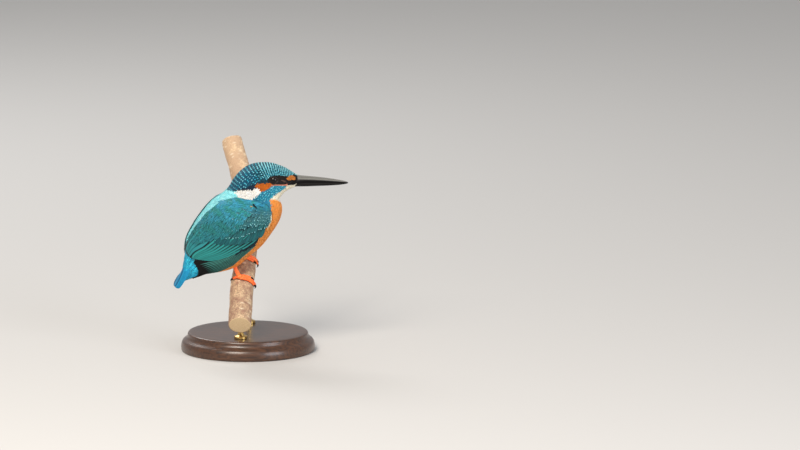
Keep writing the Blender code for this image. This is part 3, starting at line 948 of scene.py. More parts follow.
@dataclass
class Feathers:
    """Feathers of one kind on one surface, each by its shaft's line from root to tip."""

    name: str
    surface: Surface
    shape: VaneShape
    line: Array  # rows of (u, v), one row for each ring of each feather
    half_width: Array  # the greatest of each feather
    proud: Array  # height over the surface at each ring of each
    tint: Array  # a colour for each upper point of each ring of each
    mark: Array | None = None  # each one's mark: half width, half height, distance from the tip, or zeros
    pale: Array | None = None  # how far each mark is pale rather than deep blue

    def build(self, material: Material) -> Piece:
        """Makes the feathers one piece.

        The direction across a feather is the surface normal crossed with the shaft. Steps across are
        turned into steps of u and v, so that a wide feather bends round the surface.

        Args:
            material: What the piece is made of.

        Returns:
            The piece, with its colours, its barbs' coordinates and its map for baking.
        """
        shape, surface = self.shape, self.surface
        u, v = self.line[..., 0], self.line[..., 1]
        frame_at = surface.axes(u, v)
        course = unit(np.gradient(surface.point(u, v, self.proud), axis=1))
        step_u, step_v = in_steps(frame_at, unit(np.cross(frame_at[2], course)) * surface.hand)
        top = np.array(shape.columns)
        column = np.concatenate([top, top[-2:0:-1]])
        lower = np.arange(len(column)) >= len(top)
        half = self.half_width[:, None] * np.array(shape.widths)
        out = half[..., None] * column
        lift = self.proud[..., None] + shape.camber * half[..., None] * (1 - column**2) + shape.tilt * column
        lift = lift - lower * shape.thickness
        u, v = u[..., None] + step_u[..., None] * out, v[..., None] + step_v[..., None] * out
        points = surface.point(u, v, lift).reshape(-1, 3)
        count, rings, sides = out.shape
        piece = make_piece(self.name, points, ring_faces(rings, sides, count, surface.hand > 0), material)
        self._dress(piece, out, column)
        return piece

    def _dress(self, piece: Piece, out: Array, column: Array) -> None:
        """Stores the colours, the place from the mark's middle, the mark's size, and each patch of the map.

        A feather without a mark has a third coordinate whose scaled length is past the oval's edge.
        """
        count, rings, sides = out.shape
        steps, upper = np.array(self.shape.steps), len(self.shape.columns)
        source = np.concatenate([np.arange(upper), np.arange(upper - 2, 0, -1)])
        pale = np.ones(count) if self.pale is None else self.pale
        pale = np.broadcast_to(pale[:, None, None, None], (count, rings, sides, 1))
        store(piece, "Tint", np.concatenate([self.tint[..., source, :], pale], -1).reshape(-1, 4))
        ends = self.surface.point(self.line[:, [0, -1], 0], self.line[:, [0, -1], 1])
        length = np.linalg.norm(ends[:, 1] - ends[:, 0], axis=-1)
        mark = np.zeros((count, 3)) if self.mark is None else self.mark
        bare = (mark[:, 0] <= 0).astype(float)
        down = length[:, None] * (steps - 1) + mark[:, 2:]
        place = np.stack(np.broadcast_arrays(out, down[..., None], bare[:, None, None]), -1)
        store(piece, "Vane", place.reshape(-1, 3))
        size = np.stack([1 / np.maximum(mark[:, 0], 0.01), 1 / np.maximum(mark[:, 1], 0.01), bare * 9], -1)
        store(piece, "Mark", np.repeat(size, rings * sides, 0))
        root = self.surface.unwrap(self.line[:, 0, 0], self.line[:, 0, 1])
        spread = np.stack(np.broadcast_arrays(column * 0.5, steps[:, None] - 0.5), -1)
        store_map(piece, "OFBake", (root[:, None, None, :] + spread * PATCH_SIZE).reshape(-1, 2))


def in_steps(frame_at: tuple[Array, Array, Array], way: Array) -> tuple[Array, Array]:
    """Turns a direction on a surface into the steps of u and v that go one millimetre along it.

    Args:
        frame_at: The surface's axes where the direction starts.
        way: Unit vectors along the surface.

    Returns:
        The steps of u and of v.
    """
    along, across, _ = frame_at
    uu, uv, vv = (along * along).sum(-1), (along * across).sum(-1), (across * across).sum(-1)
    pu, pv = (along * way).sum(-1), (across * way).sum(-1)
    scale = uu * vv - uv * uv
    return (pu * vv - pv * uv) / scale, (pv * uu - pu * uv) / scale


def straight_steps(surface: Surface, root: Array, heading: Array, length: Array) -> Array:
    """The steps of u and v from roots to tips that lie in a straight line.

    Args:
        surface: What the feathers lie on.
        root: Rows of (u, v).
        heading: The angle from the tailward direction of each, towards its v, in degrees.
        length: Millimetres.

    Returns:
        Rows of steps.
    """
    frame_at = surface.axes(root[:, 0], root[:, 1])
    ahead = unit(frame_at[0])
    aside = unit(frame_at[1] - (frame_at[1] * ahead).sum(-1, keepdims=True) * ahead)
    turn = np.radians(heading)[:, None]
    return np.stack(in_steps(frame_at, ahead * np.cos(turn) + aside * np.sin(turn)), -1) * length[:, None]


def straight_lines(surface: Surface, root: Array, heading: Array, length: Array, shape: VaneShape) -> Array:
    """Rows of (u, v) for the rings of straight feathers: the steps above, shared out by the shape."""
    step = straight_steps(surface, root, heading, length)
    return root[:, None, :] + step[:, None, :] * np.array(shape.steps)[:, None]


def from_root(shape: VaneShape, main: Array) -> Array:
    """A colour for each upper point of each ring: painted shade darkens the root, most so on dark feathers.
    """
    # painted shade where the root lies under the feathers over it, lighter on pale feathers
    painted_root_shade = 0.6 + 0.35 * main.max(-1)[:, None]
    depth = painted_root_shade + (1 - painted_root_shade) * ease(0.1, 0.65, np.array(shape.steps))
    return np.repeat((main[:, None, :] * depth[..., None])[:, :, None], len(shape.columns), 2)


@dataclass
class Coat:
    """The small contour feathers from the bill to the tail, and the skin under them.

    Each row of layout is a section t, the distance between feathers in a row, the distance between
    rows, a feather's length and half width, and the coat's depth, all in millimetres.
    """

    body: BodySurface
    plumage: Plumage
    eye: "Eye"
    wing: WingSurface
    layout: tuple[tuple[float, ...], ...] = (
        (-0.2, 0.34, 0.36, 1.2, 0.23, 0.30),
        (1.0, 0.40, 0.45, 1.6, 0.28, 0.38),
        (2.5, 0.45, 0.50, 1.9, 0.33, 0.42),
        (4.0, 0.48, 0.58, 2.3, 0.36, 0.48),
        (5.2, 0.46, 0.72, 3.2, 0.38, 0.50),
        (6.5, 0.48, 0.90, 4.5, 0.46, 0.55),
        (9.0, 0.56, 1.05, 5.5, 0.60, 0.55),
        (12.0, 0.62, 1.15, 6.0, 0.68, 0.60),
        (14.0, 0.62, 1.10, 5.5, 0.66, 0.55),
    )
    crest: tuple[Pair, ...] = (  # how far the crown's feathers are raised, mm, by section
        (0.2, 0.0), (1.2, 0.5), (2.6, 0.6), (3.5, 1.1), (4.3, 1.9), (4.6, 1.9), (5.0, 1.55), (5.75, 1.35),
        (6.1, 0.4), (6.4, 0.0))
    bank: float = 0.4  # how far the back's feathers are raised where they run on to the wings, mm
    edge: tuple[Pair, ...] = ((6.9, 46), (8.1, 32), (9.6, 20), (10.7, 15))  # the wings' upper edge
    last: float = 13.9  # the section where the rows end
    parts: tuple[tuple[str, float, VaneShape], ...] = (  # the pieces, and the section where each ends
        ("face", 2.0, ROUND), ("crown", 3.6, ROUND), ("nape", 5.2, ROUND), ("neck", 6.5, PLUME),
        ("shoulders", 8.5, PLUME), ("trunk", 11.0, PLUME), ("rump", 99.0, PLUME))
    bar: Place = (2.0, 0.5, 0.42)  # half width, half height and distance from the tip of a pale bar, mm
    spot: Place = (0.62, 0.56, 0.56)
    every: int = 3  # one row in three is marked, and so is one feather in three of a row of spots
    marked_longer: float = 1.18
    spotted_wider: float = 1.6
    show_at: float = 0.75  # how far along a feather its place on the body is read for its colour
    # how far the skin's colour is darkened, as painted shade in the gaps between the vanes
    skin_painted_shade: float = 0.6

    def read(self, t: Array) -> Array:
        """The layout's five lengths at sections t."""
        places, *lengths = np.transpose(self.layout)
        return np.stack([np.interp(t, places, values) for values in lengths], -1)

    def skin(self, material: Material) -> Piece:
        """One closed surface that lies under the body's surface by the coat's depth.

        Args:
            material: What the skin is made of.

        Returns:
            The skin, which stands for all nodes of flesh.
        """
        t = np.concatenate([np.linspace(0.0, 0.3, 3), np.linspace(0.4, 14.0, 136)])[:, None]
        theta = circle(160)[None, :]
        piece = make_tube("skin", self.body.point(t, theta, -self.read(t)[..., 4]), material, flip=True)
        t, theta = np.broadcast_arrays(t, (theta + 180) % 360 - 180)
        main, _ = self.plumage.colours(t, theta, np.random.default_rng(SEED))
        # painted shade: the skin takes the markings, darkened
        store_tint(piece, main * self.skin_painted_shade)
        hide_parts("head", "neck", "trunk", "rump")
        return piece

    def roots(self, rng: np.random.Generator) -> Array:
        """Rows of feathers round the body, each row half a step on from the last.

        Returns:
            The t, the theta and the number of the row and of the feather, for every root.
        """
        rows, t, number = [], self.layout[0][0], 0
        while t < self.last:
            spacing, step = self.read(np.array(t))[:2]
            ring = self.body.point(t, np.linspace(0, 360, 73))
            count = int(np.linalg.norm(np.diff(ring, axis=0), axis=-1).sum() / spacing)
            index = np.arange(count)
            theta = (index + 0.5 * (number % 2) + rng.uniform(-0.25, 0.25, count)) * 360 / count
            stretch = np.linalg.norm(self.body.axes(np.array(t), np.array(60.0))[0])
            shift = t + rng.uniform(-0.14, 0.14, count) * step / stretch
            rows.append(np.stack([shift, (theta + 180) % 360 - 180, number + 0 * index, index], -1))
            t, number = t + step / stretch, number + 1
        return np.concatenate(rows)

    def build(self, material: Material) -> list[Piece]:
        """Lays the feathers and makes a piece of each length of the body.

        Args:
            material: What the vanes are made of.

        Returns:
            The pieces.
        """
        rng = np.random.default_rng(SEED)
        root = self.roots(rng)
        root = root[self.shown(root)]
        pieces = []
        for name, until, shape in self.parts:
            chosen, root = root[root[:, 0] < until], root[root[:, 0] >= until]
            _, _, length, half, depth = self.read(chosen[:, 0]).T
            count = len(chosen)
            step = straight_steps(self.body, chosen[:, :2], 0 * length, length)
            show = chosen[:, :2] + self.show_at * step
            main, kind = self.plumage.colours(show[:, 0], show[:, 1], rng)
            mark = self.marks(chosen, kind)
            marked = mark[:, 0] > 0
            length = length * rng.uniform(0.9, 1.1, count) * np.where(marked, self.marked_longer, 1.0)
            line = straight_lines(self.body, chosen[:, :2], rng.normal(0, 6, count), length, shape)
            main = main * rng.uniform(0.88, 1.1, (count, 1))
            proud = rng.uniform(-0.03, 0.06, count) + 0.05 * marked
            proud = proud[:, None] - depth[:, None] * (1 - np.array(shape.steps)) ** 2.2
            proud = proud + self.raised(line[..., 0], np.abs(line[..., 1]))
            wider = np.where(marked & (kind == Mark.SPOT.value), self.spotted_wider, 1.0)
            half = half * rng.uniform(0.9, 1.15, count) * wider
            # Bars are paler on the upper side: painted light from above.
            high = np.interp(np.abs(chosen[:, 1]), (15, 60), (0.9, 0.35))  # bars are palest on top
            pale = np.where(kind == Mark.BAR.value, high, 0.25) + rng.uniform(-0.3, 0.3, count)
            pale = np.clip(pale, 0, 1)
            tint = from_root(shape, main)
            feathers = Feathers(f"feathers_{name}", self.body, shape, line, half, proud, tint, mark, pale)
            pieces.append(feathers.build(material))
        return pieces

    def raised(self, t: Array, theta: Array) -> Array:
        """How far feathers stand over the body: the hind crown, and the back along either wing's edge."""
        share = theta / graph(self.edge, t)
        beside = ease(0.2, 0.8, share) * ease(1.55, 1.15, share) * ease(6.9, 7.6, t) * ease(12.6, 11.6, t)
        return graph(self.crest, t) * ease(75, 35, theta) + self.bank * beside

    def marks(self, root: Array, kind: Array) -> Array:
        """The pale marks: bars on every third row, and spots on every third feather of those rows."""
        row, number = root[:, 2], root[:, 3]
        line = row % self.every == 0
        turn = (number + 2 * row / self.every) % self.every < 1
        mark = np.zeros((len(root), 3))
        mark[(kind == Mark.BAR.value) & line] = self.bar
        mark[(kind == Mark.SPOT.value) & line & turn] = self.spot
        return mark

    def shown(self, root: Array) -> Array:
        """Which feathers are kept: not those on an eye, nor those whose tips would be under a wing."""
        spot = self.body.point(root[:, 0], root[:, 1])
        clear = np.ones(len(root), bool)
        for middle in self.eye.middles:
            clear &= np.linalg.norm(spot - middle, axis=-1) > self.eye.radius * 0.86
        stretch = np.linalg.norm(self.body.axes(root[:, 0], root[:, 1])[0], axis=-1)
        tip = root[:, 0] + 0.8 * self.read(root[:, 0])[:, 2] / stretch
        ribs = self.wing.sections[:-1]  # the last one lies beyond the solid
        outline = [*(rib.low for rib in ribs), *(rib.high for rib in reversed(ribs))]
        return clear & (inside(outline, tip, root[:, 1]) < 0.5)


# ---- head


@dataclass
class Eye:
    """Both eyes: a ball with iris and pupil, and the bare rim of its lids."""

    pose: Pose
    rim: float = 0.38
    opening: float = 2.72
    ball: str = "#1c0f08"
    pupil: str = "#020202"
    pupil_edge: Pair = (27.0, 31.0)  # degrees from the axis that looks out

    def __post_init__(self) -> None:
        """Reads the eyes' places and size from the frame."""
        boxes = [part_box("eye_right"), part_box("eye_left")]
        self.middles = [np.array((low + high) / 2) / MM for low, high in boxes]
        low, high = boxes[0]
        self.radius = (high.z - low.z) / 2 / MM

    def build(self, eye: Material, lid: Material) -> list[Piece]:
        """Makes balls and lids.

        A ball is rings round the axis that looks out: iris and pupil are bands of it.

        Args:
            eye: The balls' material.
            lid: The lids' material.

        Returns:
            The pieces.
        """
        pieces = []
        yaw = math.radians(self.pose.head_yaw)
        ahead = np.array((math.cos(yaw), math.sin(yaw), 0.0))
        for hand, name, middle in ((1, "right", self.middles[0]), (-1, "left", self.middles[1])):
            out = np.array((math.sin(yaw), -math.cos(yaw), 0.0)) * hand
            turn = np.radians(circle(48))[None, :, None]
            swing = np.radians(np.linspace(1.0, 179.0, 40))[:, None, None]
            round_it = ahead * np.cos(turn) + UP * np.sin(turn)
            points = middle + self.radius * (out * np.cos(swing) + round_it * np.sin(swing))
            piece = make_tube(f"eye_ball_{name}", points, eye, flip=hand > 0)
            iris = ease(*np.radians(self.pupil_edge), swing)
            store_tint(piece, np.broadcast_to(blend(self.pupil, self.ball, iris), points.shape))
            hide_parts(f"eye_{name}")
            pieces += [piece, self._lid(name, hand, middle, out, ahead, lid)]
        return pieces

    def _lid(self, name: str, hand: int, middle: Array, out: Array, ahead: Array,
             material: Material) -> Piece:
        """The rim: a closed ring of round section, drawn to a corner in front and behind.

        Its radius is the opening, and it lies where the ball leaves the skin.
        """
        rings, sides = 64, 12
        around = np.radians(circle(rings))[:, None, None]
        tube = np.radians(circle(sides))[None, :, None]
        corner = np.abs(np.cos(around)) ** 6
        reach = self.opening * (1 + 0.1 * corner) + self.rim * np.cos(tube)
        level = math.sqrt(self.radius**2 - self.opening**2) + 0.12
        rise = level - 0.55 * corner + self.rim * np.sin(tube)
        points = middle + (ahead * np.cos(around) + UP * np.sin(around) * 0.94) * reach + out * rise
        ring, side = np.arange(rings)[:, None], np.arange(sides)[None, :]
        a, b = ring * sides + side, ring * sides + (side + 1) % sides
        d, c = ((x + sides) % (rings * sides) for x in (a, b))
        faces = np.stack([a, d, c, b] if hand > 0 else [a, b, c, d], -1).reshape(-1, 4)
        return make_piece(f"eye_lids_{name}", points.reshape(-1, 3), [faces], material)


@dataclass
class Bill:
    """Upper and lower mandible, each a half-round section carried forward, and the fleshy gape behind."""

    pose: Pose
    body: BodySurface
    rows: tuple[tuple[float, ...], ...] = (  # forward, culmen, mouth line, gonys and half width
        (27.8, 72.6, 66.0, 63.3, 4.4), (30.5, 72.1, 66.1, 63.4, 3.75), (36.0, 71.4, 66.5, 63.3, 3.0),
        (44.0, 70.6, 66.4, 63.5, 2.5), (53.0, 69.5, 66.1, 63.7, 1.9), (61.0, 68.1, 65.9, 64.1, 1.25),
        (66.0, 67.0, 65.8, 64.7, 0.8), (68.2, 66.2, 65.7, 65.2, 0.35),
    )
    nostril: Pair = (32.4, 69.6)
    # the grey of the painted sheen on the upper mandible's upper half
    sheen_grey: str = "#7c7b76"
    black: str = "#0b0908"
    gape: tuple[Place, ...] = (  # t, theta and half width
        (-0.1, 100, 2.2), (0.5, 103, 1.9), (0.95, 106, 1.4), (1.35, 109, 0.9), (1.75, 111, 0.55),
        (2.3, 108, 0.42), (2.85, 103, 0.36), (3.35, 98, 0.3), (3.75, 94, 0.2),
    )
    horn_until: float = 0.42  # how much of the gape's length is horn, and the rest is flesh

    def build(self, horn: Material, flesh: Material) -> list[Piece]:
        """Makes the two mandibles and the gape on either side.

        Args:
            horn: The bill's material.
            flesh: The gape's material.

        Returns:
            The pieces.
        """
        upper, lower = self._mandible(True, horn), self._mandible(False, horn)
        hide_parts("bill_upper")
        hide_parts("bill_lower")
        pieces = [upper, lower, self._gape(1, "right", horn, flesh), self._gape(-1, "left", horn, flesh)]
        return pieces

    def _mandible(self, upper: bool, material: Material) -> Piece:
        """One half of the bill.

        Round the section the side goes with the cosine of the angle and the height with a power of its
        sine, which is near 1 for the keeled culmen. A groove with the nostril in it is pressed into the
        upper half, and both have a sharp edge where they meet.
        """
        rings, sides = 90, 33
        at = np.linspace(0, len(self.rows) - 1, rings)
        forward, culmen, mouth, gonys, half = (through(self.rows, at)[:, k][:, None] for k in range(5))
        angle = np.linspace(0, np.pi, sides)[None, :]
        side = half * (1.0 if upper else 0.94) * np.cos(angle)
        rise = np.sin(angle) ** (0.85 if upper else 0.8)
        top = culmen if upper else gonys
        flat = mouth + (0.06 if upper else -0.06)
        up = flat + (top - flat) * rise
        # grey mixed into the black is painted sheen: only a trace near the mouth line on the lower mandible
        painted_sheen = 0.04 * ease(0.9, 0.3, rise)
        if upper:
            reach = (forward - self.nostril[0]) / 2.4
            press = np.exp(-(reach**2) - ((up - self.nostril[1]) / 0.55) ** 2)
            groove = ease(60, 40, forward) * np.exp(-(((up - self.nostril[1] + 0.1) / 0.9) ** 2))
            side = side * (1 - 0.16 * press - 0.05 * groove)
            # painted sheen of light from above over the upper mandible's upper half, broken by a darker line
            painted_sheen = ease(0.35, 0.65, rise) * (1 - 0.4 * np.exp(-(((rise - 0.8) / 0.08) ** 2)))
        points = self.pose.place(forward + 0 * up, up, side, 0.0)
        piece = make_tube(f"bill_{'upper' if upper else 'lower'}_horn", points, material, flip=upper)
        store_tint(piece, blend(self.black, self.sheen_grey, np.broadcast_to(painted_sheen, up.shape)[..., None]))
        return piece

    def _gape(self, hand: int, name: str, horn: Material, flesh: Material) -> Piece:
        """The gape: a strip on the side of the head, domed and grooved, that narrows back under the eye."""
        rings, sides = 48, 13
        at = np.linspace(0, len(self.gape) - 1, rings)
        t, theta, half = (through(self.gape, at)[:, k] for k in range(3))
        _, across, _ = self.body.axes(t, theta)
        degree = np.linalg.norm(across, axis=-1)
        angle = np.linspace(0, 2 * np.pi, sides, endpoint=False)[None, :]
        out = (half / degree)[:, None] * np.cos(angle)
        base = np.interp(t, (-0.1, 0.7), (-0.4, 0.1))[:, None]
        groove = 0.2 * np.exp(-((np.cos(angle) / 0.2) ** 2)) * (np.sin(angle) > 0)
        dome = base + 0.36 * np.sin(angle) - groove
        points = self.body.point(t[:, None], (theta[:, None] + out) * hand, dome)
        piece = make_tube(f"gape_{name}", points, horn, flip=hand < 0)
        store_tint(piece, linear(self.black))
        piece.data.materials.append(flesh)
        ring = np.repeat(np.arange(rings - 1), sides)
        index = np.concatenate([(ring > rings * self.horn_until).astype(np.int32), [0, 1]])
        piece.data.polygons.foreach_set("material_index", index)
        return piece


# ---- wings and tail


@dataclass(frozen=True)
class CovertRow:
    """A row of coverts: the line of its tips from the upper to the lower edge, and its feathers."""

    name: str
    count: int
    length: float
    width: float
    level: float  # height over the wing's surface
    heading: float
    spot: float  # radius of the pale spot at the tip
    base: str
    varied: str
    tips: tuple[Pair, ...]


@dataclass(frozen=True)
class QuillSet:
    """Long feathers side by side: the lines of the first and the last, and what lies between them."""

    name: str
    count: int
    widths: Pair
    levels: Pair
    rise: float  # how far the tips stand over the roots
    outer: str
    inner: str
    tip: str
    tip_from: float
    web: float  # where across the vane the dark inner web ends, as a share of the half width
    first: tuple[Pair, ...]
    last: tuple[Pair, ...]


@dataclass
class Wing:
    """One folded wing: a core, primaries, secondaries, tertials, covert rows and scapulars."""

    name: str
    surface: WingSurface
    quills: tuple[QuillSet, ...] = (
        QuillSet(
            "primaries", 10, (2.2, 2.7), (-0.8, -0.55), 0.35, "#52a89c", "#080a0c", "#060708", 0.49, 0.82,
            ((3.9, 0.0), (5.7, 0.09), (7.5, 0.2), (9.5, 0.3)),
            ((4.6, 0.25), (5.6, 0.4), (6.6, 0.66), (7.6, 1.0))),
        QuillSet(
            "secondaries", 9, (2.3, 2.6), (-0.5, -0.3), 0.15, "#2a8783", "#0d2126", "#0e3a3e", 0.95, 0.35,
            ((3.5, 0.1), (4.6, 0.23), (5.35, 0.37), (6.0, 0.52)),
            ((3.5, 0.58), (4.9, 0.66), (5.7, 0.76), (6.85, 0.97))),
        QuillSet(
            "tertials", 4, (2.7, 2.7), (-0.25, -0.1), 0.1, "#2f878c", "#0b1f24", "#14494d", 0.9, 0.1,
            ((3.6, 0.68), (4.9, 0.73), (5.7, 0.85), (6.75, 1.06)),
            ((4.2, 0.93), (4.9, 1.01), (5.5, 1.07), (6.1, 1.12))),
    )
    coverts: tuple[CovertRow, ...] = (
        CovertRow("primary_coverts", 6, 7.0, 1.2, -0.2, -4, 0.0, "#12343d", "#081418", (
            (4.95, 0.19), (4.6, 0.14), (4.3, 0.09), (3.95, 0.05))),
        CovertRow("greater_coverts", 24, 10.5, 1.35, -0.12, -8, 0.0, "#1f686b", "#19545a", (
            (4.95, 0.72), (4.75, 0.55), (4.5, 0.4), (4.2, 0.27), (3.85, 0.16), (3.4, 0.03))),
        CovertRow("median_coverts", 20, 7.5, 1.2, -0.06, -8, 0.42, "#276a6c", "#1e565e", (
            (4.42, 0.72), (4.3, 0.57), (4.1, 0.45), (3.82, 0.35), (3.5, 0.27), (3.1, 0.17), (2.75, 0.04))),
        CovertRow("lesser_coverts_6", 22, 6.0, 1.05, -0.02, -6, 0.36, "#307173", "#24616a", (
            (4.0, 0.64), (3.75, 0.5), (3.45, 0.42), (3.1, 0.3), (2.75, 0.18), (2.4, 0.03))),
        CovertRow("lesser_coverts_5", 23, 5.4, 0.95, 0.02, -6, 0.3, "#336f71", "#27616b", (
            (3.6, 0.62), (3.4, 0.48), (3.05, 0.34), (2.7, 0.2), (2.1, 0.03))),
        CovertRow("lesser_coverts_4", 24, 4.6, 0.8, 0.05, -6, 0.27, "#367173", "#2a656f", (
            (3.2, 0.64), (3.0, 0.46), (2.7, 0.33), (2.35, 0.18), (1.8, 0.02))),
        CovertRow("lesser_coverts_3", 24, 4.4, 0.8, 0.08, -4, 0.26, "#377375", "#2b6a7a", (
            (2.8, 0.64), (2.6, 0.48), (2.35, 0.33), (2.0, 0.18), (1.5, 0.02))),
        CovertRow("lesser_coverts_2", 24, 4.2, 0.8, 0.1, -2, 0.24, "#37767a", "#2b6e80", (
            (2.4, 0.66), (2.25, 0.5), (2.0, 0.34), (1.65, 0.18), (1.2, 0.01))),
        CovertRow("lesser_coverts_1", 22, 4.0, 0.8, 0.12, 0, 0.22, "#35797f", "#2a7284", (
            (2.0, 0.7), (1.85, 0.5), (1.6, 0.34), (1.3, 0.18), (0.9, 0.01))),
        CovertRow("lesser_coverts_0", 20, 4.0, 0.85, 0.14, 0, 0.0, "#2f8088", "#2a7794", (
            (1.55, 0.82), (1.4, 0.5), (1.1, 0.25), (0.65, 0.03))),
        CovertRow("lesser_coverts_front", 15, 4.0, 0.9, 0.1, 0, 0.0, "#2f8894", "#2a7fa4", (
            (1.05, 0.85), (0.95, 0.5), (0.7, 0.1))),
        CovertRow("bend_edge", 10, 3.2, 0.42, 0.16, -8, 0.0, "#fdf3d8", "#f0cf98", (
            (2.9, 0.02), (2.5, 0.01), (2.0, 0.01), (1.5, 0.05))),
        # near-black feathers that paint the shade in the gap at the shoulder
        CovertRow("shoulder_gap_shade", 5, 2.6, 0.9, 0.22, 15, 0.0, "#0d2228", "#0a1418", (
            (1.5, 0.6), (1.25, 0.8))),
        CovertRow("shoulder_fleck", 2, 1.5, 0.34, 0.34, 10, 0.0, "#d9924c", "#e8b070", (
            (1.68, 0.665), (1.6, 0.64))),
    )
    lower: tuple[Pair, ...] = (  # the scapulars' lowest roots, by rib and share of its width
        (0.3, 0.75), (1.2, 0.59), (1.9, 0.49), (2.6, 0.47), (3.1, 0.46), (3.5, 0.47), (3.9, 0.54),
        (4.3, 0.64), (4.8, 0.80))
    upper: tuple[Pair, ...] = ((0.3, 1.02), (2.2, 1.03), (3.2, 1.09), (4.5, 1.14))  # and the highest
    spacing: Pair = (0.13, 0.017)  # of their roots, along the ribs and up them
    teal: str = "#2f9190"
    blue: str = "#3a9dbd"
    dark: str = "#1f7273"
    core: tuple[str, str] = ("#1d545c", "#4fb8c6")  # the plate's colour, and its upper edge's

    def build(self, feather: Material, plume: Material, core: Material) -> list[Piece]:
        """Makes the whole wing.

        Args:
            feather: The material of its long feathers and coverts.
            plume: The material of its scapulars.
            core: The material of the plate under them.

        Returns:
            The pieces.
        """
        pieces = [self._core(core)]
        sets = [self._quills(quills, number) for number, quills in enumerate(self.quills)]
        sets += [self._coverts(row, number) for number, row in enumerate(self.coverts)]
        pieces += [*(feathers.build(feather) for feathers in sets), self._scapulars().build(plume)]
        return pieces

    def _core(self, material: Material) -> Piece:
        """The plate that the feathers lie on: the wing's own outline, drawn in and thinner."""
        rib = np.linspace(0.25, 8.2, 60)[:, None]
        share = np.linspace(0.06, 0.91, 24)
        outer = self.surface.point(rib, share[None, :], -1.3)
        inner = self.surface.point(rib, share[None, ::-1], -3.0)
        points = np.concatenate([outer, inner], 1)
        piece = make_tube(f"{self.name}_core", points, material, flip=self.surface.hand < 0)
        rim = ease(0.78, 0.9, np.concatenate([share, share[::-1]]))[:, None]
        store_tint(piece, np.tile(blend(*self.core, rim), (len(rib), 1)))
        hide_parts(self.name, self.name.replace("wing", "primaries"))
        return piece

    def _quills(self, quills: QuillSet, number: int) -> Feathers:
        """Long feathers whose lines are read between the first one's and the last one's.

        The outer web, which shows, has the bright colour, and the inner web is dark. The outermost edge of
        the vane is darkened too, as a painted shadow line between neighbours. Each feather's outer edge is
        raised over the next one out.
        """
        rng = np.random.default_rng(SEED + number)
        steps, column = np.array(QUILL.steps), np.array(QUILL.columns)
        share = np.linspace(0, 1, quills.count)[:, None]
        at = steps * (len(quills.first) - 1)
        first, last = through(quills.first, at), through(quills.last, at)
        line = first[None] * (1 - share[..., None]) + last[None] * share[..., None]
        half = quills.widths[0] + (quills.widths[1] - quills.widths[0]) * share[:, 0]
        proud = quills.levels[0] + (quills.levels[1] - quills.levels[0]) * share + quills.rise * steps
        # the outermost tenth of each vane is dark: a painted shadow line between neighbouring quills
        outer = (ease(quills.web - 0.15, quills.web, column) * ease(1.0, 0.9, column))[None, None, :, None]
        tint = blend(quills.inner, quills.outer, outer) * rng.uniform(0.86, 1.1, (quills.count, 1, 1, 1))
        end = ease(quills.tip_from, min(quills.tip_from + 0.2, 1.0), steps)[None, :, None, None]
        tint = tint * (1 - end) + linear(quills.tip) * end
        return Feathers(f"{self.name}_{quills.name}", self.surface, QUILL, line, half, proud, tint)

    def _coverts(self, row: CovertRow, number: int) -> Feathers:
        """A row of coverts, each laid back from its tip's place."""
        rng = np.random.default_rng(SEED + 20 + number)
        count, steps = row.count, np.array(COVERT.steps)
        share = (np.arange(count) + 0.5) / count
        tips = through(row.tips, share * (len(row.tips) - 1)) + rng.normal(0, 1, (count, 2)) * (0.04, 0.006)
        length = row.length * rng.uniform(0.93, 1.07, count)
        back = straight_lines(self.surface, tips, row.heading + rng.normal(0, 3, count), -length, COVERT)
        line = tips[:, None, :] + (back[:, -1:, :] - tips[:, None, :]) * (1 - steps)[None, :, None]
        main = blend(row.base, row.varied, rng.random((count, 1))) * rng.uniform(0.85, 1.12, (count, 1))
        proud = row.level - 0.4 * (1 - steps[None, :]) ** 1.5 + rng.uniform(-0.04, 0.04, (count, 1))
        size = row.spot * rng.uniform(0.65, 1.2, count)
        mark = np.stack([size, size, size * 1.2], -1)
        half, tint = np.full(count, row.width), from_root(COVERT, main)
        pale = rng.uniform(0.3, 1.0, count)
        return Feathers(f"{self.name}_{row.name}", self.surface, COVERT, line, half, proud, tint, mark, pale)

    def _scapulars(self) -> Feathers:
        """Loose, soft plumes over the shoulder, in rows that run off the back over the coverts."""
        rng = np.random.default_rng(SEED + 40)
        roots = []
        for at in np.arange(0.3, 4.9, self.spacing[0]):
            share = np.arange(graph(self.lower, at), graph(self.upper, at), self.spacing[1])
            roots.append(np.stack([0 * share + at, share], -1))
        root = np.concatenate(roots)
        count = len(root)
        root = root + rng.uniform(-1, 1, (count, 2)) * (0.06, 0.009)
        length = rng.uniform(5.0, 7.0, count) * np.interp(root[:, 0], (0.3, 1.5), (0.6, 1.0))
        line = straight_lines(self.surface, root, rng.normal(-3, 6, count), length, PLUME)
        cloud = mottle(root[:, 0] * 0.9, root[:, 1] * 45)[:, None] + rng.normal(0, 0.06, (count, 1))
        blue = ease(0.35, 0.7, cloud)
        rear = ease(2.4, 4.2, root[:, :1] + (1 - root[:, 1:]) * 1.2 + rng.normal(0, 0.2, (count, 1)))
        main = blend(self.teal, self.blue, blue) * (1 - 0.8 * rear) + linear(self.dark) * 0.8 * rear
        main = main * rng.uniform(0.9, 1.1, (count, 1))
        proud = rng.uniform(0.0, 0.15, (count, 1)) - 0.5 * (1 - np.array(PLUME.steps)[None, :]) ** 2
        half, tint = rng.uniform(0.52, 0.7, count), from_root(PLUME, main)
        return Feathers(f"{self.name}_scapulars", self.surface, PLUME, line, half, proud, tint)


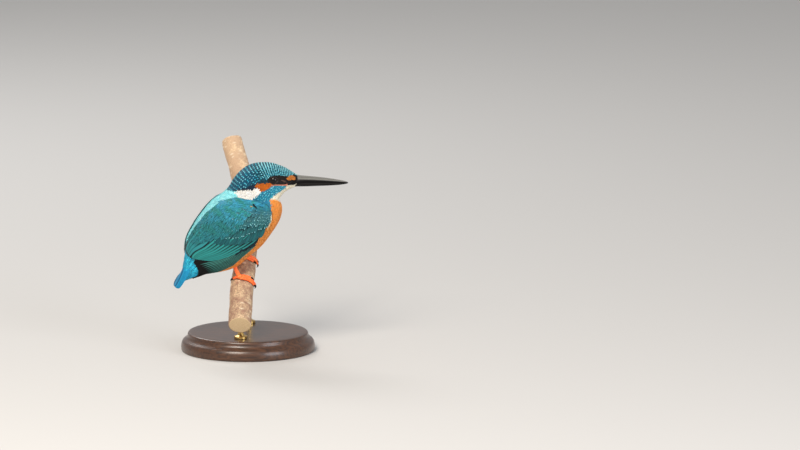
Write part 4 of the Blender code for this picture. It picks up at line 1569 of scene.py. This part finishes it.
@dataclass
class Tail:
    """Twelve tail feathers, nearly closed, with the middle pair on top, and the coverts over their bases."""

    surface: TailSurface
    body: BodySurface
    count: int = 12
    azure: str = "#2391be"
    dark: str = "#10557f"

    def build(self, feather: Material) -> list[Piece]:
        """Makes the tail feathers and the coverts above and below.

        Args:
            feather: The vanes' material.

        Returns:
            The pieces.
        """
        upper = self._coverts("upper_tail_coverts", 0, 142, "#1f9ec8", "#38bfda", 208)
        under = self._coverts("under_tail_coverts", 180, 38, "#ee8430", "#d9681b", 48)
        pieces = [feathers.build(feather) for feathers in (self._rectrices(), upper, under)]
        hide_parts("tail")
        return pieces

    def _rectrices(self) -> Feathers:
        """Tail feathers: the further from the middle, the lower it lies and the shorter it is."""
        number = np.arange(self.count) - (self.count - 1) / 2
        steps, column = np.array(QUILL.steps), np.array(QUILL.columns)
        away = np.abs(number)[:, None] / 5.5
        u = -0.6 + (4.6 - 0.5 * away**2) * steps
        v = np.sign(number)[:, None] * (0.07 + 0.55 * away) * (1.25 - 0.25 * steps)
        proud = -0.1 - 0.13 * np.abs(number)[:, None] + 0 * steps
        edge = ease(-0.1, 0.5, -np.sign(number)[:, None] * column)[:, None, :, None]
        tint = blend(self.azure, self.dark, edge)
        tint = np.broadcast_to(tint, (self.count, len(steps), len(column), 3))
        line, half = np.stack([u, v], -1), np.full(self.count, 2.6)
        return Feathers("tail_feathers", self.surface, QUILL, line, half, proud, tint)

    def _coverts(self, name: str, middle: float, spread: float, base: str, varied: str,
                 count: int) -> Feathers:
        """Longer soft feathers that run off the body over the tail's root."""
        rng = np.random.default_rng(SEED + 60 + int(middle))
        t = np.repeat(np.linspace(11.9, 13.7, 8), count // 8)
        count = len(t)
        theta = middle + rng.uniform(-spread, spread, count)
        length = rng.uniform(6.0, 8.5, count) + 2.5 * ease(60, 120, np.abs(theta))
        line = straight_lines(self.body, np.stack([t, theta], -1), rng.normal(0, 5, count), length, COVERT)
        main = blend(base, varied, rng.random((count, 1))) * rng.uniform(0.85, 1.1, (count, 1))
        proud = rng.uniform(-0.05, 0.2, (count, 1)) - 0.5 * (1 - np.array(COVERT.steps)[None, :]) ** 2
        half, tint = rng.uniform(0.9, 1.3, count), from_root(COVERT, main)
        return Feathers(name, self.body, COVERT, line, half, proud, tint)


# ---- branch, feet and stand


@dataclass
class Branch:
    """The cut length of branch: its middle line by the height over the feet, and its bark."""

    pose: Pose
    low: float = -35.0
    high: float = 85.0
    lean: Place = (8.4, 1.15, 0.0031)  # away from the camera, by the powers of the height
    sideways: tuple[float, ...] = (-7.0, -6.2, -4.0, -2.4, -4.2, -9.4, -15.2)  # from the lower end up
    radii: Pair = (8.9, 7.7)
    lenticels: int = 170
    degree: float = 0.14  # the length of one degree round the bark
    scars: tuple[Pair, ...] = ((-27.0, 62.0), (58.0, -38.0))

    def middle(self, height: Array | float) -> Array:
        """The middle line: it leans away, steepens as it rises, and bows sideways."""
        height = np.asarray(height, float)
        away = self.lean[0] + self.lean[1] * height - self.lean[2] * height**2
        step = (self.high - self.low) / (len(self.sideways) - 1)
        aside = through([[x] for x in self.sideways], (height - self.low) / step)[..., 0]
        x, y, z = self.pose.feet
        return np.stack([x + aside, y + away, z + height], -1)

    def radius(self, height: Array) -> Array:
        """The radius, which tapers evenly upwards."""
        return np.interp(height, (self.low, self.high), self.radii)

    def point(self, height: Array, angle: Array, over: Array | float) -> Array:
        """The place that stands over the bark, at an angle round the branch from its upper side."""
        height, turn, over = np.broadcast_arrays(np.asarray(height, float), np.radians(angle), over)
        along = unit(self.middle(height + 0.5) - self.middle(height - 0.5))
        across = unit(-np.cross(UP, along))
        upper = -np.cross(along, across)
        out = upper * np.cos(turn)[..., None] + across * np.sin(turn)[..., None]
        return self.middle(height) + out * (self.radius(height) + over)[..., None]

    def build(self, bark: Material, end: Material) -> list[Piece]:
        """Makes the bark and the two sawn ends.

        The bark is the branch's tube with long low swellings (sums of sines), two old twig scars and
        lenticels: small raised ovals that lie across it.
        """
        rng = np.random.default_rng(SEED + 80)
        rings, sides = 420, 128
        height = np.linspace(self.low, self.high, rings)[:, None]
        angle = circle(sides)[None, :]
        turn = np.radians(angle)
        over = 0.16 * np.sin(height / 6.5 + 2 * turn) + 0.12 * np.sin(height / 3.1 - 3 * turn + 1.3)
        over = over + 0.08 * np.sin(height / 1.7 + 5 * turn + 0.4) - 0.18
        corky = np.zeros((rings, sides))
        ranges = ((self.low, self.high), (0, 360), (0.5, 1.0))
        for spot, round_at, size in zip(*(rng.uniform(*ends, self.lenticels) for ends in ranges)):
            aside, up = self._from(spot, round_at, height, angle)
            corky += np.exp(-((aside / (1.5 * size)) ** 2) - (up / (0.75 * size)) ** 2) * size
        for spot, round_at in self.scars:
            reach = np.hypot(*self._from(spot, round_at, height, angle))
            over = over + 1.1 * np.exp(-((reach / 3.2) ** 2)) - 1.3 * np.exp(-((reach / 1.3) ** 2))
        over = over + 0.2 * np.minimum(corky, 1)
        rim = np.minimum(height - self.low, self.high - height)
        over = over - 0.5 * np.exp(-((rim / 0.5) ** 2))
        piece = make_tube("perch_bark", self.point(height, angle, over), bark)
        store_tint(piece, np.repeat(np.minimum(corky, 1)[..., None] * 0.8, 3, -1), "Lenticel")
        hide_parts("perch")
        ends = (("perch_end_low", self.low, -1), ("perch_end_high", self.high, 1))
        pieces = [piece, *(self._end(name, height, way, end) for name, height, way in ends)]
        return pieces

    def _from(self, spot: float, round_at: float, height: Array, angle: Array) -> tuple[Array, Array]:
        """How far round and up the bark places are from a spot, in about millimetres along the branch."""
        return ((angle - round_at + 180) % 360 - 180) * self.degree, (height - spot) * 1.5

    def _end(self, name: str, height: float, way: int, material: Material) -> Piece:
        """A sawn end: a thin disc of wood, a little less than the branch, just proud of the bark's end."""
        turn = circle(96)[None, :]
        share = np.linspace(0.02, 1.0, 24)[:, None]
        radius = float(self.radius(np.array(height)))
        face = self.point(height, turn, (share - 1) * radius - 0.9 * share)
        along = unit(self.middle(height + 0.5) - self.middle(height - 0.5))
        points = np.concatenate([face + along * way * 0.12, face[::-1] - along * way * 0.6])
        piece = make_tube(name, points, material, flip=way > 0)
        store(piece, "Vane", (points - self.middle(height)).reshape(-1, 3))
        return piece


@dataclass(frozen=True)
class Grip:
    """Where a foot holds the branch, and where its leg comes out of the belly."""

    side: str
    height: float
    angle: float  # round the branch
    hip: Place
    outwards: float  # how far its toes' places run down the branch


@dataclass(frozen=True)
class Toe:
    """A toe: where it starts and spreads to along the branch, and how far it turns round it."""

    name: str
    start: float
    turn: float
    spread: float
    root_radius: float
    tip_radius: float
    claw_turn: float


@dataclass
class Feet:
    """Both legs: tarsus, sole, four toes and claws each."""

    pose: Pose
    branch: Branch
    grips: tuple[Grip, ...] = (
        Grip("right", -11.0, -8.0, (-18.7, 8.0, 4.6), 0.65),
        Grip("left", 2.0, -2.0, (-11.0, 18.0, -7.5), -0.65),
    )
    toes: tuple[Toe, ...] = (
        Toe("hind", -0.2, -33.0, -0.3, 1.2, 0.85, -22.0),
        Toe("inner", -0.9, 52.0, -1.0, 1.05, 0.8, 22.0),
        Toe("middle", -0.1, 90.0, 0.5, 1.2, 0.85, 25.0),
        Toe("outer", 1.1, 78.0, 1.0, 1.1, 0.8, 22.0),
    )
    lift: float = 0.25  # of the skin over the branch
    sole: float = 1.85
    scute: float = 0.95  # length of one scute
    claw: str = "#16100d"

    def build(self, skin: Material, horn: Material) -> list[Piece]:
        """Makes each foot one piece, and each claw its own.

        Args:
            skin: The scaly skin.
            horn: The claws' horn.

        Returns:
            The pieces.
        """
        pieces = []
        for grip in self.grips:
            shells = [self._leg(grip), self._pad(grip)]
            for toe in self.toes:
                shells.append(self._toe(grip, toe))
                pieces.append(self._claw(grip, toe, horn))
            faces, start = [], 0
            for shell in shells:
                faces += [part + start for part in ring_faces(*shell.shape[:2])]
                start += shell.shape[0] * shell.shape[1]
            points = np.concatenate([shell.reshape(-1, 3) for shell in shells])
            foot = make_piece(f"foot_{grip.side}", points, faces, skin)
            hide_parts(f"leg_{grip.side}")
            pieces.append(foot)
        return pieces

    def tube(self, path: Array, radii: Array, sides: int = 20, ridge: float = 0.0) -> Array:
        """A tube along a path.

        The radius swells and falls back once for each scute on the side away from the branch, and the
        ends are drawn in to a round point.

        Args:
            path: Points along the middle.
            radii: The radius at each.
            sides: Points round it.
            ridge: How far a scute's free edge stands out.

        Returns:
            Rings of points.
        """
        course = unit(np.gradient(path, axis=0))
        away = unit(path - self.branch.middle(path[:, 2] - self.pose.feet[2]))
        side = unit(np.cross(course, away))
        away = np.cross(side, course)
        run = np.concatenate([[0], np.cumsum(np.linalg.norm(np.diff(path, axis=0), axis=-1))])
        turn = np.radians(circle(sides))[None, :]
        saw = (run / self.scute) % 1.0
        swell = radii[:, None] + ridge * (saw[:, None] ** 2 - 0.3) * np.clip(np.cos(turn) + 0.35, 0, 1)
        end = np.minimum(run, run[-1] - run) / np.maximum(radii, 0.1)
        swell = swell * np.sqrt(np.clip(1 - (1 - np.clip(end, 0.02, 1)) ** 2, 0, 1))[:, None]
        out = away[:, None] * np.cos(turn)[..., None] + side[:, None] * np.sin(turn)[..., None]
        return path[:, None] + out * swell[..., None]

    def _leg(self, grip: Grip) -> Array:
        """The tarsus, from inside the belly's feathers to the sole."""
        hip = self.pose.place(*(np.array(x) for x in grip.hip), np.array(1.0))
        sole = self.branch.point(grip.height, grip.angle, self.lift + self.sole)
        bend = (hip + sole) / 2 + (-0.6, 0, 0)
        f = np.linspace(0, 1, 60)[:, None]
        path = hip * (1 - f) ** 2 + 2 * bend * f * (1 - f) + sole * f**2
        return self.tube(path, np.interp(f[:, 0], (0, 0.5, 1), (1.9, 1.45, 1.6)), 24, 0.16)

    def _pad(self, grip: Grip) -> Array:
        """The sole: a short tube across the toes' roots, swollen in the middle."""
        f = np.linspace(-1, 1, 24)
        path = self.branch.point(grip.height, grip.angle + 12 * f, self.lift + self.sole - 0.1)
        return self.tube(path, self.sole * (1 - 0.12 * f**2), 20, 0.05)

    def _toe(self, grip: Grip, toe: Toe) -> Array:
        """A toe round the branch: fleshy pads below between its joints, scutes above."""
        f = np.linspace(0, 1, 90)
        radius = toe.root_radius + (toe.tip_radius - toe.root_radius) * f
        height = grip.height - grip.outwards * (toe.start + toe.spread * f)
        path = self.branch.point(height, grip.angle + toe.turn * f, self.lift + radius)
        pads = 1 + 0.07 * np.cos(np.linspace(0, 3 * math.tau, 90))
        return self.tube(path, radius * pads, 20, 0.14)

    def _claw(self, grip: Grip, toe: Toe, horn: Material) -> Piece:
        """A claw: a cone that leaves the toe's end, arches and comes to a point on the bark."""
        f = np.linspace(0, 1, 40)
        height = grip.height - grip.outwards * (toe.start + toe.spread)
        angle = grip.angle + toe.turn + toe.claw_turn * f
        over = self.lift + 0.85 + 0.75 * np.sin(np.pi * f * 0.8) - 0.9 * f
        path = self.branch.point(np.full(40, height), angle, over)
        points = self.tube(path, 0.78 * (1 - f) ** 0.8 + 0.08, 16)
        piece = make_tube(f"claw_horn_{grip.side}_{toe.name}", points, horn)
        store_tint(piece, linear(self.claw))
        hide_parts(f"claw_{grip.side}_{toe.name}")
        return piece


@dataclass
class Stand:
    """The turned wooden base and its two brass rods."""

    ogee: tuple[Pair, ...] = (  # its edge's profile: how far in from the rim and down from the top
        (7.0, 0.0), (5.6, 0.3), (5.0, 1.2), (4.7, 2.6), (4.0, 4.0), (2.6, 5.2), (1.2, 6.4), (0.4, 8.0),
        (0.0, 10.0), (0.0, 12.6), (0.35, 13.5), (1.0, 14.0))
    pole: float = 0.4  # radius of the small flat at the middle

    def build(self, wood: Material, brass: Material) -> list[Piece]:
        """Makes the base, a profile carried round an upright axis, and gives the rods their finish.

        Args:
            wood: The base's material.
            brass: The rods' material.

        Returns:
            The pieces.
        """
        _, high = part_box("stand_base")
        radius, top = high.x / MM, high.z / MM
        edge = [(radius - inset, top - drop) for inset, drop in self.ogee]
        edge = through(edge, np.linspace(0, len(self.ogee) - 1, 60))
        deck = np.stack([np.linspace(self.pole, edge[0, 0], 12)[:-1], np.full(11, top)], -1)
        floor = np.stack([np.linspace(edge[-1, 0], self.pole, 8)[1:], np.zeros(7)], -1)
        out, height = np.concatenate([deck, edge, floor]).T[..., None]
        turn = np.radians(circle(160))
        rings = np.broadcast_arrays(out * np.cos(turn), out * np.sin(turn), height)
        base = make_tube("stand_base_turned", np.stack(rings, -1), wood, flip=True)
        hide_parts("stand_base")
        for name in ("stand_rod_front", "stand_rod_rear"):
            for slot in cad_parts[name].material_slots:
                slot.material = brass
        return [base]


# ---- studio


@dataclass
class Studio:
    """Floor, lights and camera."""

    pose: Pose
    elevation: float = 10.0
    distance: float = 5000.0
    view_width: float = 596.0  # of what the camera sees at the bird
    aim: Pair = (111.75, 33.5)  # the view's middle, to the right of the feet and over them
    reach: float = 9000.0  # half the floor's side
    lamps: tuple[tuple[str, Place, float, float, str], ...] = (  # place and size in metres, power in watts
        ("key", (-0.5, -1.15, 1.2), 0.8, 26.0, "#fff6ea"),
        ("fill", (1.25, -1.2, 0.55), 1.0, 14.0, "#f4f7ff"),
        ("rim", (-0.6, 1.1, 1.2), 0.7, 10.0, "#ffffff"),
    )
    sky: str = "#f2f3f5"

    def build(self) -> None:
        """Sets the scene: a long lens from a little above, soft light from above left, a pale floor."""
        scene = bpy.context.scene
        lift = math.radians(self.elevation)
        feet = Vector(self.pose.feet)
        target = feet + Vector((self.aim[0], 0, self.aim[1] / math.cos(lift)))
        look = Vector((0, math.cos(lift), -math.sin(lift)))
        data = bpy.data.cameras.new("camera")
        data.sensor_width = 36.0
        data.lens = data.sensor_width * self.distance / self.view_width
        data.clip_end = 50.0
        camera = bpy.data.objects.new("camera", data)
        scene.collection.objects.link(camera)
        camera.location = (target - look * self.distance) * MM
        camera.rotation_euler = look.to_track_quat("-Z", "Y").to_euler()
        scene.camera = camera
        for lamp in self.lamps:
            self._light(*lamp)
        scene.world = bpy.data.worlds.new("studio")
        scene.world.use_nodes = True
        sky = scene.world.node_tree.nodes["Background"].inputs
        sky["Color"].default_value = rgba(self.sky)
        sky["Strength"].default_value = 0.5
        scene.view_settings.view_transform = "Standard"
        corners = np.array([(-1, -1, 0), (1, -1, 0), (1, 1, 0), (-1, 1, 0)]) * self.reach
        floor = make_piece("floor", corners, [np.array([[0, 1, 2, 3]])], FloorFinish().material())

    def _light(self, name: str, place: Place, size: float, power: float, colour: str) -> None:
        """A round soft box that faces the bird."""
        data = bpy.data.lights.new(name, "AREA")
        data.shape = "DISK"
        data.size = size
        data.energy = power
        data.color = tuple(linear(colour))
        lamp = bpy.data.objects.new(name, data)
        bpy.context.scene.collection.objects.link(lamp)
        lamp.location = place
        aim = Vector(self.pose.feet) * MM + Vector((0, 0, 0.03)) - Vector(place)
        lamp.rotation_euler = aim.to_track_quat("-Z", "Y").to_euler()


def save_sizes() -> None:
    """Brings the scene's matrices up to date."""
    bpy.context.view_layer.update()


def main() -> None:
    """Builds the bird, its perch and stand, and the studio."""
    logging.basicConfig(level=logging.INFO, format="%(name)s: %(message)s")
    pose = Pose()
    body = BodySurface(pose)
    contour = FeatherFinish("contour_feathers").material()
    flight = FeatherFinish("flight_feathers", "#a4e6ea", "#4aa4b0", roughness=0.5, specular=0.16,
                           barb_spacing=0.5, shaft_width=0.08, shaft_shade=0.78).material()
    down = SkinFinish().material()
    horn = HornFinish("black_bill_horn").material()
    claw = HornFinish("claw_horn").material()
    flesh = ScaleFinish("pink_gape", "#a4543c", "#e2a284").material()
    scales = ScaleFinish("red_foot_scales", "#fb541c", "#ff9046").material()
    lids = ScaleFinish("black_lids", "#0d0a09", "#2c2420").material()
    eye = Eye(pose)
    coat = Coat(body, Plumage(), eye, WingSurface(body, 1))
    branch = Branch(pose)
    pieces = [coat.skin(down)]
    pieces += coat.build(contour)
    pieces += eye.build(EyeFinish().material(), lids)
    pieces += Bill(pose, body).build(horn, flesh)
    for name, hand in (("wing_right", 1), ("wing_left", -1)):
        pieces += Wing(name, WingSurface(body, hand)).build(flight, contour, down)
    pieces += Tail(TailSurface(pose), body).build(flight)
    pieces += Feet(pose, branch).build(scales, claw)
    pieces += branch.build(BarkFinish().material(), SawnEndFinish().material())
    pieces += Stand().build(TurnedWoodFinish().material(), BrassFinish().material())
    Studio(pose).build()
    for piece in pieces:
        log.info("%s: %d faces", piece.name, len(piece.data.polygons))
    save_sizes()


if __name__ == "__main__":
    main()
